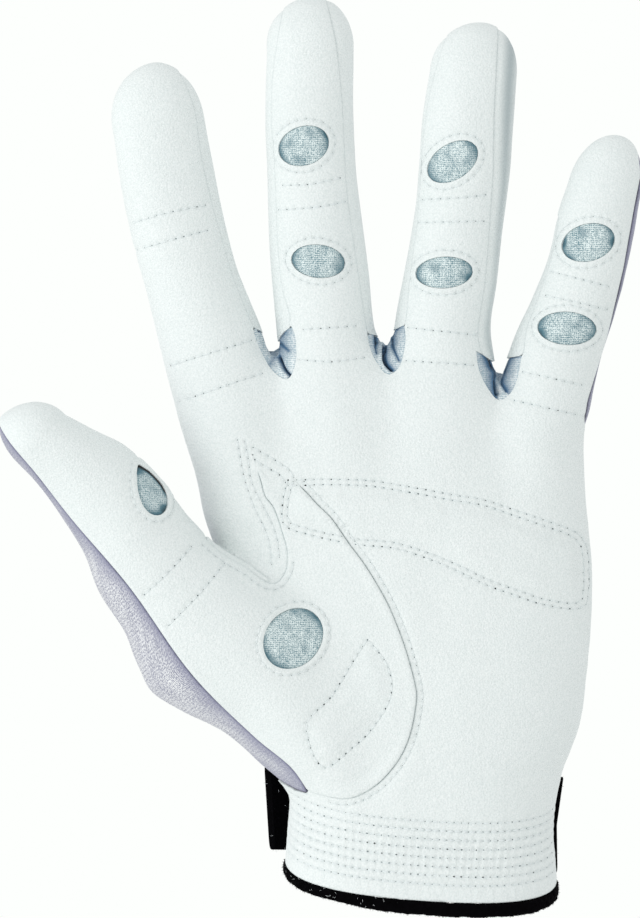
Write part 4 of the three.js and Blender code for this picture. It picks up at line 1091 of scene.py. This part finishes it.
# Each knit: light and dark colours, then the painted shade's shadow colour and its deep shadow colour
BACK_KNIT = ribbed_knit("back_knit", "#fafbfb", "#9092a5", "#9495ad", "#33304a", wale=0.5, course=0.9,
                        sheen=0.4, cross=0.25, fuzz=2.2)
WEB_KNIT = ribbed_knit("web_knit", "#f6fbfb", "#b2c6ce", "#4f7292", "#04070e", wale=0.9, course=0.45,
                       sheen=0.1, cross=0.8, fuzz=1.6, grain=3.0)
WINDOW_KNIT = ribbed_knit("window_knit", "#f2fdfc", "#6f919b", "#5b808d", "#04080b", wale=0.5, course=0.45,
                          sheen=0.1, cross=0.7, fuzz=2.6, grain=3.9, low=0.75)
BLACK_TAPE = black_pile("black_binding", "#08070a")
BLACK_LOOP = black_pile("black_hook_and_loop", "#060508")
THREAD_WHITE = plain_thread("white_thread", "#dde5e6", 0.6)
LINT = plain_thread("lint", "#c9cdd0", 0.9)
NEEDLE = needle_shadow()


def piece(name, points, faces, material, slot, stands_for=(), painted_shade=None, cloth=None):
    """A finished mesh from points in millimetres and triangles, riding on the glove's one body."""
    mesh = bpy.data.meshes.new(name)
    mesh.vertices.add(len(points))
    mesh.vertices.foreach_set("co", (points * MM).astype(np.float32).ravel())
    mesh.loops.add(faces.size)
    mesh.loops.foreach_set("vertex_index", faces.astype(np.int32).ravel())
    mesh.polygons.add(len(faces))
    mesh.polygons.foreach_set("loop_start", np.arange(0, faces.size, 3, dtype=np.int32))
    mesh.polygons.foreach_set("use_smooth", np.ones(len(faces), bool))
    mesh.update(calc_edges=True)
    if painted_shade is not None:
        mesh.attributes.new("painted_shade", "FLOAT", "POINT").data.foreach_set("value", painted_shade.astype(np.float32))
    if cloth is not None:
        place = mesh.attributes.new("cloth", "FLOAT_VECTOR", "POINT")
        place.data.foreach_set("vector", (cloth * MM).astype(np.float32).ravel())
    mesh.set_sharp_from_angle(angle=math.radians(55))
    mesh.materials.append(material)
    made = bpy.data.objects.new("soft_" + name, mesh)
    bpy.context.scene.collection.objects.link(made)
    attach(made, "root")
    if stands_for:
        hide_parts(*stands_for)
    return made


def panel(name, material, slot, relief, wall, level):
    """One panel: cut from the plain skin by its seams, made finer near its sewing, raised by its relief
    along the skin's slope, and closed by the same cut skin moved inwards and a strip round its edge."""
    points, faces = largest(*cut_out(*SKIN, lambda p: region(name, p)))
    outer, fine = finer(points, faces, lambda p: level(name, p))
    if name in WEBS:
        points, faces = outer, fine
    way = unit(slope_of(hand_distance, points))
    inner = points - way * wall
    if name in WEBS:
        inner += way * relief(name, points)[0][:, None]
    count = len(points)
    lift, shade = relief(name, outer)
    cloth = None
    if relief is knit_relief:
        cloth = np.vstack([cloth_place(name, outer), cloth_place(name, inner)])
    outer = outer + unit(slope_of(hand_distance, outer)) * lift[:, None]
    if name in WEBS:
        outer, inner = notched(name, outer), notched(name, inner)
    edge = border(faces)
    base = len(outer)
    strip = np.vstack([np.stack([edge[:, 1], edge[:, 0], edge[:, 0] + base], 1),
                       np.stack([edge[:, 1], edge[:, 0] + base, edge[:, 1] + base], 1)])
    every = np.vstack([fine, faces[:, ::-1] + base, strip])
    # Painted shade: the outer faces take the relief's, the inner faces an even 0.3
    painted_shade = np.r_[shade, np.full(count, 0.3)]
    piece(name, np.vstack([outer, inner]), every, material, slot, [name], painted_shade, cloth)


def leather_level(name, p):
    """How fine the leather is: twice halved at a sewn row or a seam, once near them and in the cuff."""
    away, _ = sewing_at(name, p)
    inside = region(name, p)
    level = np.where((away < 0.6) | (inside < 0.6), 2, np.where((away < 1.3) | (inside < 1.5), 1, 0))
    if name == "palm_leather":
        up, part = cuff_at(p)
        row = np.abs(up[:, None] - np.array(CUFF_ROWS)).min(1)
        level = np.maximum(level, np.where(part > 0.1, np.where(row < 0.45, 2, 1), 0))
        back_edge = palm_side_at(p) < 1.2
        level = np.where(back_edge, np.minimum(level, 1), level)
    return level


def knit_level(name, p):
    """How fine the knit is: twice halved in the small webs and windows, once halved at its seams."""
    if name in WEBS or name in WINDOWS:
        return np.full(len(p), 2)
    return np.where(region(name, p) < 1.5, 1, 0)


SKIN = finer(*plain_skin(SKIN_STEP),
             lambda p: np.where((np.hypot(*(seen(p) - TONGUE_TIP).T) < 7) & (p[:, 1] < 0), 2, 0))

panel("palm_leather", LEATHER, "white_leather", leather_relief, LEATHER_WALL, leather_level)
panel("thumb_leather", LEATHER, "white_leather", leather_relief, LEATHER_WALL, leather_level)
for one in STRIPS:
    panel(one, LEATHER, "white_leather", leather_relief, LEATHER_WALL, leather_level)
panel("thumb_knit", BACK_KNIT, "back_knit", knit_relief, KNIT_WALL, knit_level)
panel("back_knit", BACK_KNIT, "back_knit", knit_relief, KNIT_WALL, knit_level)
for one in WEBS:
    panel(one, WEB_KNIT, "web_knit", knit_relief, KNIT_WALL, knit_level)
for one in WINDOWS:
    panel(one, WINDOW_KNIT, "window_knit", knit_relief, KNIT_WALL, knit_level)


def on_sight_lines(flat, y):
    """Points at depths y that show at given places of the front view."""
    share = EYE["away"] / (EYE["away"] + y)
    return np.column_stack([EYE["x"] + (flat[:, 0] - EYE["x"]) / share, y,
                            EYE["z"] + (flat[:, 1] - EYE["z"]) / share])


def front_points(flat):
    """Where lines of sight first meet the plain skin: the first sign change on a row of samples, then halved
    closer. The second result says which lines meet it."""
    depth = np.arange(-48.0, 12.0, 0.8)
    grid = on_sight_lines(np.repeat(flat, len(depth), 0), np.tile(depth, len(flat)))
    inside = (hand_distance(grid) < 0).reshape(len(flat), -1)
    found, first = inside.any(1), inside.argmax(1)
    low, high = depth[np.maximum(first - 1, 0)], depth[first]
    for _ in range(12):
        half = (low + high) / 2
        hit = hand_distance(on_sight_lines(flat, half)) < 0
        low, high = np.where(hit, low, half), np.where(hit, half, high)
    return on_sight_lines(flat, high), found


def scatter(shape_points, shape_faces, centres, frames, sizes):
    """Many copies of one small shape: its points times sizes, turned by each copy's frame, and moved."""
    points = np.einsum("nij,nkj->nki", frames.transpose(0, 2, 1), shape_points[None] * sizes[:, None, :])
    points = (points + centres[:, None, :]).reshape(-1, 3)
    step = np.arange(len(centres))[:, None, None] * len(shape_points)
    return points, (shape_faces[None] + step).reshape(-1, 3)


def stitch_shape(around=6, rings=5):
    """A stitch: a rounded rod, thinner to its ends as a circle is, arched between its needle holes."""
    s = np.sin(np.linspace(-math.pi / 2, math.pi / 2, rings + 2))[1:-1]
    turn = np.linspace(0, 2 * math.pi, around, endpoint=False)
    radius = (1 - np.abs(s) ** 3) ** 0.5
    arch = 0.9 * (1 - s**2) - 0.9
    ring = np.stack([np.repeat(s, around), (radius[:, None] * np.cos(turn)).ravel(),
                     (radius[:, None] * np.sin(turn) + arch[:, None]).ravel()], 1)
    points = np.vstack([ring, [[-1, 0, -0.9], [1, 0, -0.9]]])
    k = np.arange(around)
    nxt = (k + 1) % around
    faces = []
    for r in range(rings - 1):
        a, b, c, d = r * around + k, r * around + nxt, (r + 1) * around + nxt, (r + 1) * around + k
        faces += [np.stack([a, d, c], 1), np.stack([a, c, b], 1)]
    last = (rings - 1) * around
    faces += [np.stack([np.full(around, rings * around), k, nxt], 1),
              np.stack([np.full(around, rings * around + 1), last + nxt, last + k], 1)]
    return points, np.vstack(faces)


def hole_shape(around=8):
    """A needle hole's shadow: a flat round lens."""
    turn = np.linspace(0, 2 * math.pi, around, endpoint=False)
    ring = np.stack([np.cos(turn), np.sin(turn), np.zeros(around)], 1)
    points = np.vstack([ring, [[0, 0, 1], [0, 0, -1]]])
    k = np.arange(around)
    nxt = (k + 1) % around
    return points, np.vstack([np.stack([k, nxt, np.full(around, around)], 1),
                              np.stack([nxt, k, np.full(around, around + 1)], 1)])


def surface_frames(at, way):
    """Frames on the skin: the row's direction laid flat on the skin, across it, and out of it."""
    out = unit(slope_of(hand_distance, at))
    along = unit(way - out * (way * out).sum(1)[:, None])
    return np.stack([along, np.cross(out, along), out], 1), out


def sew(name, panel_name, rows, pitch, thread):
    """Rows of stitches on a leather panel: needle holes a pitch apart, each a dark lens of painted shadow,
    and a stitch from each to the next, laid on the panel's raised face. Each row has its line and how dark
    its holes look."""
    holes, ways, sizes, starts = [], [], [], []
    for line, dark in rows:
        flat = even_line(line, pitch, False)
        spots, found = front_points(flat)
        at_edge = region(panel_name, spots)
        good = found & (at_edge > 0.25)
        spots, good_next = spots[good], (good[1:] & good[:-1])[good[:-1]]
        if len(spots) < 2:
            continue
        way = np.gradient(spots, axis=0)
        holes.append(spots)
        ways.append(way)
        sizes.append(np.full(len(spots), dark))
        starts.append(np.r_[good_next[:len(spots) - 1], False][:len(spots)])
    spots, ways = np.vstack(holes), np.vstack(ways)
    sizes, starts = np.concatenate(sizes), np.concatenate(starts)
    lift, _ = leather_relief(panel_name, spots)
    frames, out = surface_frames(spots, ways)
    surface = spots + out * lift[:, None]
    radius = 0.07 + 0.26 * sizes * chance.uniform(0.2, 1.15, len(spots)) ** 1.3
    # The needle holes' painted shadows: flat dark lenses just over the leather
    points, faces = scatter(*hole_shape(), surface + out * 0.03, frames,
                            np.stack([radius, radius * 0.8, np.full(len(spots), 0.05)], 1))
    piece(name + "_needle_holes", points, faces, NEEDLE, None)
    here = np.flatnonzero(starts)
    middle = (spots[here] + spots[here + 1]) / 2
    length = np.linalg.norm(surface[here + 1] - surface[here], axis=1)
    good = length < 1.8 * pitch
    middle, length, here = middle[good], length[good], here[good]
    lift, _ = leather_relief(panel_name, middle)
    frames, out = surface_frames(middle, spots[here + 1] - spots[here])
    middle = onto_skin(middle, 1) + out * (lift + 0.04)[:, None]
    points, faces = scatter(*stitch_shape(), middle, frames, np.stack(
        [length * 0.42, np.full(len(here), thread), np.full(len(here), thread * 0.8)], 1))
    piece(name + "_stitches", points, faces, THREAD_WHITE, None)


for short, leather in (("palm", "palm_leather"), ("thumb", "thumb_leather")):
    sew(short, leather, [(line, dark) for one, line, dark in SEWN if one == leather], STITCH, THREAD)


def cuff_row(over, count=60):
    """One elastic row of the cuff in the front view: level over the wrist's dipping edge, found by stepping
    the height until it is that far over the edge where the skin is."""
    flat = np.column_stack([np.linspace(-30, 32.5, count), np.full(count, over - 4.0)])
    for _ in range(4):
        spots, found = front_points(flat)
        flat[:, 1] += np.where(found, over - spots[:, 2] + rim_height(spots[:, 0], spots[:, 1]), 0)
    return flat[found]


sew("cuff", "palm_leather", [(cuff_row(over), dark) for over, dark in zip(CUFF_ROWS, CUFF_HOLES)],
    CUFF_STITCH, CUFF_THREAD)


def boxed(v, power):
    """A sine or cosine with its size raised to a power: it turns a circle into a rounded oblong."""
    return np.sign(v) * np.abs(v) ** power


def wrist_loop(turn, height, grow):
    """A point of the wrist's section, a superellipse, at a turn in degrees and grown outwards."""
    rows = np.array(PALM_ROWS, float)
    left, right, front, back = cubic(rows[:, 0], rows[:, 1:], height).T
    c, s = np.cos(np.radians(turn)), np.sin(np.radians(turn))
    power = 2 / PALM_FULLNESS
    return np.stack([(left + right) / 2 + ((right - left) / 2 + grow) * boxed(c, power),
                     (front + back) / 2 + ((back - front) / 2 + grow) * boxed(s, power)], 1)


def tube_faces(loops, around, closed_path):
    """Faces between rings of points, the last ring joined to the first if the path is closed."""
    r = np.arange(loops if closed_path else loops - 1)
    k = np.arange(around)
    a = (r[:, None] * around + k).ravel()
    b = (r[:, None] * around + (k + 1) % around).ravel()
    c = (((r + 1) % loops)[:, None] * around + (k + 1) % around).ravel()
    d = (((r + 1) % loops)[:, None] * around + k).ravel()
    return np.vstack([np.stack([a, b, c], 1), np.stack([a, c, d], 1)])


def hem_binding():
    """Folded tape round the wrist opening: a rounded oblong profile carried along the wrist's edge, uneven
    as brushed cloth is."""
    turn = np.linspace(0, 360, 720, endpoint=False)
    loop = wrist_loop(turn, np.zeros(len(turn)), 0.0)
    for _ in range(2):
        height = rim_height(loop[:, 0], loop[:, 1])
        loop = wrist_loop(turn, height, 0.0)
    tall = BINDING["height"] - BINDING["thinner"] * ease(-loop[:, 0], 2, 26)
    height = rim_height(loop[:, 0], loop[:, 1]) - tall / 2 - 0.1
    way = unit(np.roll(loop, -1, 0) - np.roll(loop, 1, 0))
    out = np.column_stack([way[:, 1], -way[:, 0]])
    k = np.linspace(0, 2 * math.pi, 22, endpoint=False)
    across = BINDING["half"] * boxed(np.cos(k), BINDING["square"])
    up = 0.5 * boxed(np.sin(k), BINDING["square"])
    points = np.empty((len(turn), len(k), 3))
    points[:, :, :2] = loop[:, None, :] + out[:, None, :] * (across[None, :, None] - BINDING["sunk"])
    points[:, :, 2] = height[:, None] + tall[:, None] * up[None, :]
    flat = points.reshape(-1, 3)
    push = np.column_stack([np.tile(np.cos(k), len(turn))[:, None] * np.repeat(out, len(k), 0),
                            np.tile(np.sin(k), len(turn))])
    flat = flat + push * (0.12 * ripples(flat, 5, 21) + 0.08 * ripples(flat, 1.7, 22))[:, None]
    return flat, tube_faces(len(turn), len(k), True)


def strap_band():
    """The strap behind the wrist: a flat band with rounded edges, its thickness carried along the wrist's
    section and straight on to the free end, its top and bottom edges straight lines in the front view."""
    turn = np.linspace(STRAP["from"], STRAP["to"], 120)
    path = wrist_loop(turn, np.full(len(turn), STRAP["level"]), STRAP["inner"])
    far = np.array([STRAP["far"], path[-1, 1] - STRAP["off"]])
    tail = (far - path[-1]) * np.linspace(0, 1, 24)[1:, None]
    beyond = np.vstack([np.zeros((len(turn), 2)), tail])
    turn = np.r_[turn, np.full(len(tail), turn[-1])]
    x = np.vstack([path, path[-1] + tail])[:, 0]
    bottom = np.interp(x, [-36.5, -20, 36], [5.2, 4.6, -0.8])
    top = np.interp(x, [-37.8, 36], [26.2, 23.0]) - 0.2
    k = np.linspace(0, 2 * math.pi, 44, endpoint=False)
    share, up = 0.5 + 0.5 * boxed(np.cos(k), 0.6), 0.5 + 0.5 * boxed(np.sin(k), 0.18)
    points = np.empty((len(x), len(k), 3))
    points[:, :, 2] = bottom[:, None] + (top - bottom)[:, None] * up[None, :]
    # on the wrist it keeps to the section at each height, on the free end to the section at one level
    height = points[:, :, 2] + (STRAP["level"] - points[:, :, 2]) * ease(np.arange(len(x)), 90, 119)[:, None]
    around, height = np.repeat(turn, len(k)), height.ravel()
    inner = wrist_loop(around, height, STRAP["inner"]).reshape(len(x), len(k), 2)
    outer = wrist_loop(around, height, STRAP["outer"]).reshape(len(x), len(k), 2)
    points[:, :, :2] = inner + (outer - inner) * share[None, :, None] + beyond[:, None, :]
    near_end, far_end = ease(-np.arange(len(x)), -12, 0), ease(np.arange(len(x)), len(x) - 13, len(x) - 1)
    points[:, :, 0] += 0.9 * near_end[:, None] * ease(points[:, :, 2], 17, 23) - far_end[:, None] * 0.062 * (
        points[:, :, 2] - 16)
    flat = points.reshape(-1, 3)
    middle = points.mean(1)
    count = len(k)
    faces = tube_faces(len(x), count, False)
    flat = np.vstack([flat, middle[:1], middle[-1:]])
    ring, nxt = np.arange(count), (np.arange(count) + 1) % count
    start, stop = len(flat) - 2, len(flat) - 1
    last = (len(x) - 1) * count
    faces = np.vstack([faces, np.stack([np.full(count, start), nxt, ring], 1),
                       np.stack([np.full(count, stop), last + ring, last + nxt], 1)])
    return flat, faces


def face_out(points, faces):
    """Faces that point outwards: all of them are turned round if the volume they hold is negative."""
    a, b, c = (points[faces[:, i]] for i in range(3))
    return faces if (a * np.cross(b, c)).sum() > 0 else faces[:, ::-1]


def hairs(points, faces, number, length, thick, droop):
    """Short loose fibres at random places on a surface's faces, each a three-sided spike that bends."""
    a, b, c = (points[faces[:, i]] for i in range(3))
    normal = np.cross(b - a, c - a)
    area = np.linalg.norm(normal, axis=1)
    pick = chance.choice(len(faces), number, p=area / area.sum())
    u, v = chance.uniform(size=(2, number, 1))
    u, v = np.where(u + v > 1, 1 - u, u), np.where(u + v > 1, 1 - v, v)
    root = a[pick] + u * (b - a)[pick] + v * (c - a)[pick]
    out = unit(normal[pick])
    side = unit(chance.normal(size=(number, 3)))
    way = unit(out + droop * side)
    size = length * chance.uniform(0.4, 1.3, (number, 1))
    across = unit(np.cross(way, side))
    other = np.cross(way, across)
    turn = np.radians([0, 120, 240])
    ring = across[:, None] * np.cos(turn)[None, :, None] + other[:, None] * np.sin(turn)[None, :, None]
    base = root[:, None] - out[:, None] * 0.15 + ring * thick
    middle = (root + way * size * 0.55)[:, None] + ring * thick * 0.7
    tip = (root + way * size * 0.8 + unit(way + 0.9 * droop * side) * size * 0.35)[:, None]
    strand = np.concatenate([base, middle, tip], 1).reshape(-1, 3)
    one = np.array([[0, 2, 1], [0, 1, 4], [0, 4, 3], [1, 2, 5], [1, 5, 4], [2, 0, 3], [2, 3, 5],
                    [3, 4, 6], [4, 5, 6], [5, 3, 6]])
    return strand, (one[None] + 7 * np.arange(number)[:, None, None]).reshape(-1, 3)


binding_points, binding_faces = hem_binding()
binding_faces = face_out(binding_points, binding_faces)
piece("hem_binding", binding_points, binding_faces, BLACK_TAPE, "black_binding", ["hem_binding"])
piece("hem_binding_pile", *hairs(binding_points, binding_faces, 5200, 0.4, 0.05, 0.9), BLACK_TAPE,
      "black_binding")

strap_points, strap_faces = strap_band()
strap_faces = face_out(strap_points, strap_faces)
piece("wrist_strap", strap_points, strap_faces, BLACK_LOOP, "black_hook_and_loop", ["wrist_strap"])
piece("wrist_strap_pile", *hairs(strap_points, strap_faces, 4200, 0.45, 0.05, 0.9), BLACK_LOOP,
      "black_hook_and_loop")


def with_lint(name, points, faces, right, number):
    """Pale lint in the black pile, lying on the palm side's faces to the left of a place."""
    a, b, c = (points[faces[:, i]] for i in range(3))
    shown = (np.cross(b - a, c - a)[:, 1] < 0) & (a[:, 0] < right)
    strand, strand_faces = hairs(points, faces[shown], number, 0.9, 0.05, 3.5)
    piece(name + "_lint", strand, strand_faces, LINT, None)


with_lint("hem_binding", binding_points, binding_faces, -6.0, 110)
with_lint("wrist_strap", strap_points, strap_faces, -30.0, 14)


def floor_board():
    """Painted matt board for the floor."""
    m = new_material("pale_floor")
    place = add(m, "ShaderNodeTexCoord").outputs["Object"]
    cloud = add(m, "ShaderNodeTexNoise", {"Vector": place, "Scale": 0.004 * PER_MM}).outputs["Fac"]
    tone = add(m, "ShaderNodeMix", {0: cloud, 6: linear("#f2f3f2"), 7: linear("#f6f7f6")}, data_type="RGBA")
    return finish_with(m, add(m, "ShaderNodeBsdfPrincipled", {"Base Color": tone.outputs[2],
                                                              "Roughness": 0.9}))


def floor():
    """A pale floor well under the held-up glove, in metres."""
    left, right, near, far, height = -1.3, 1.3, -0.9, 1.1, -0.42
    mesh = bpy.data.meshes.new("floor")
    corners = [(left, near, height), (right, near, height), (right, far, height), (left, far, height)]
    mesh.from_pydata(corners, [], [(0, 1, 2, 3)])
    mesh.materials.append(floor_board())
    made = bpy.data.objects.new("floor", mesh)
    bpy.context.scene.collection.objects.link(made)


def soft_box(name, at, size, power):
    """A square soft light at a place, turned to the glove's middle."""
    light = bpy.data.lights.new(name, "AREA")
    light.shape, light.size, light.energy = "SQUARE", size, power
    made = bpy.data.objects.new(name, light)
    made.location = at
    made.rotation_euler = (Vector(GLOVE_MIDDLE) - Vector(at)).to_track_quat("-Z", "Y").to_euler()
    bpy.context.scene.collection.objects.link(made)


# Soft lights in metres and watts: place, side and power
GLOVE_MIDDLE = (-0.022, -0.005, 0.105)
LIGHTS = {"key_light": ((-0.9, -1.2, 0.9), 0.9, 0.8),
          "left_light": ((-1.2, -0.75, 0.1), 0.9, 5.3),
          "fill_light": ((0.6, -1.6, 0.2), 0.8, 0.5)}
floor()
for name, light in LIGHTS.items():
    soft_box(name, *light)

world = bpy.data.worlds.new("white_room")
world.use_nodes = True
world.node_tree.nodes.clear()
ray = add(world, "ShaderNodeLightPath").outputs["Is Camera Ray"]
backdrop = add(world, "ShaderNodeBackground", {"Color": linear("#fdfffd"), "Strength": 1.0})
shining = add(world, "ShaderNodeBackground", {"Color": linear("#f7f9f9"), "Strength": 0.885})
both = add(world, "ShaderNodeMixShader", {0: ray, 1: shining.outputs[0], 2: backdrop.outputs[0]})
add(world, "ShaderNodeOutputWorld", {"Surface": both.outputs[0]})
bpy.context.scene.world = world
bpy.context.scene.view_settings.view_transform = "Standard"
bpy.context.scene.view_settings.look = "None"

# The photograph's view: straight at the palm from 1.15 m, 220.3 mm tall at the glove's middle plane
VIEW_HEIGHT = 220.3
lens = bpy.data.cameras.new("camera")
lens.sensor_width = 36
lens.lens = lens.sensor_width * EYE["away"] / VIEW_HEIGHT
lens.clip_start, lens.clip_end = 0.05, 20
camera = bpy.data.objects.new("camera", lens)
camera.location = (EYE["x"] * MM, -EYE["away"] * MM, EYE["z"] * MM)
camera.rotation_euler = (math.radians(90), 0, 0)
bpy.context.scene.collection.objects.link(camera)
bpy.context.scene.camera = camera
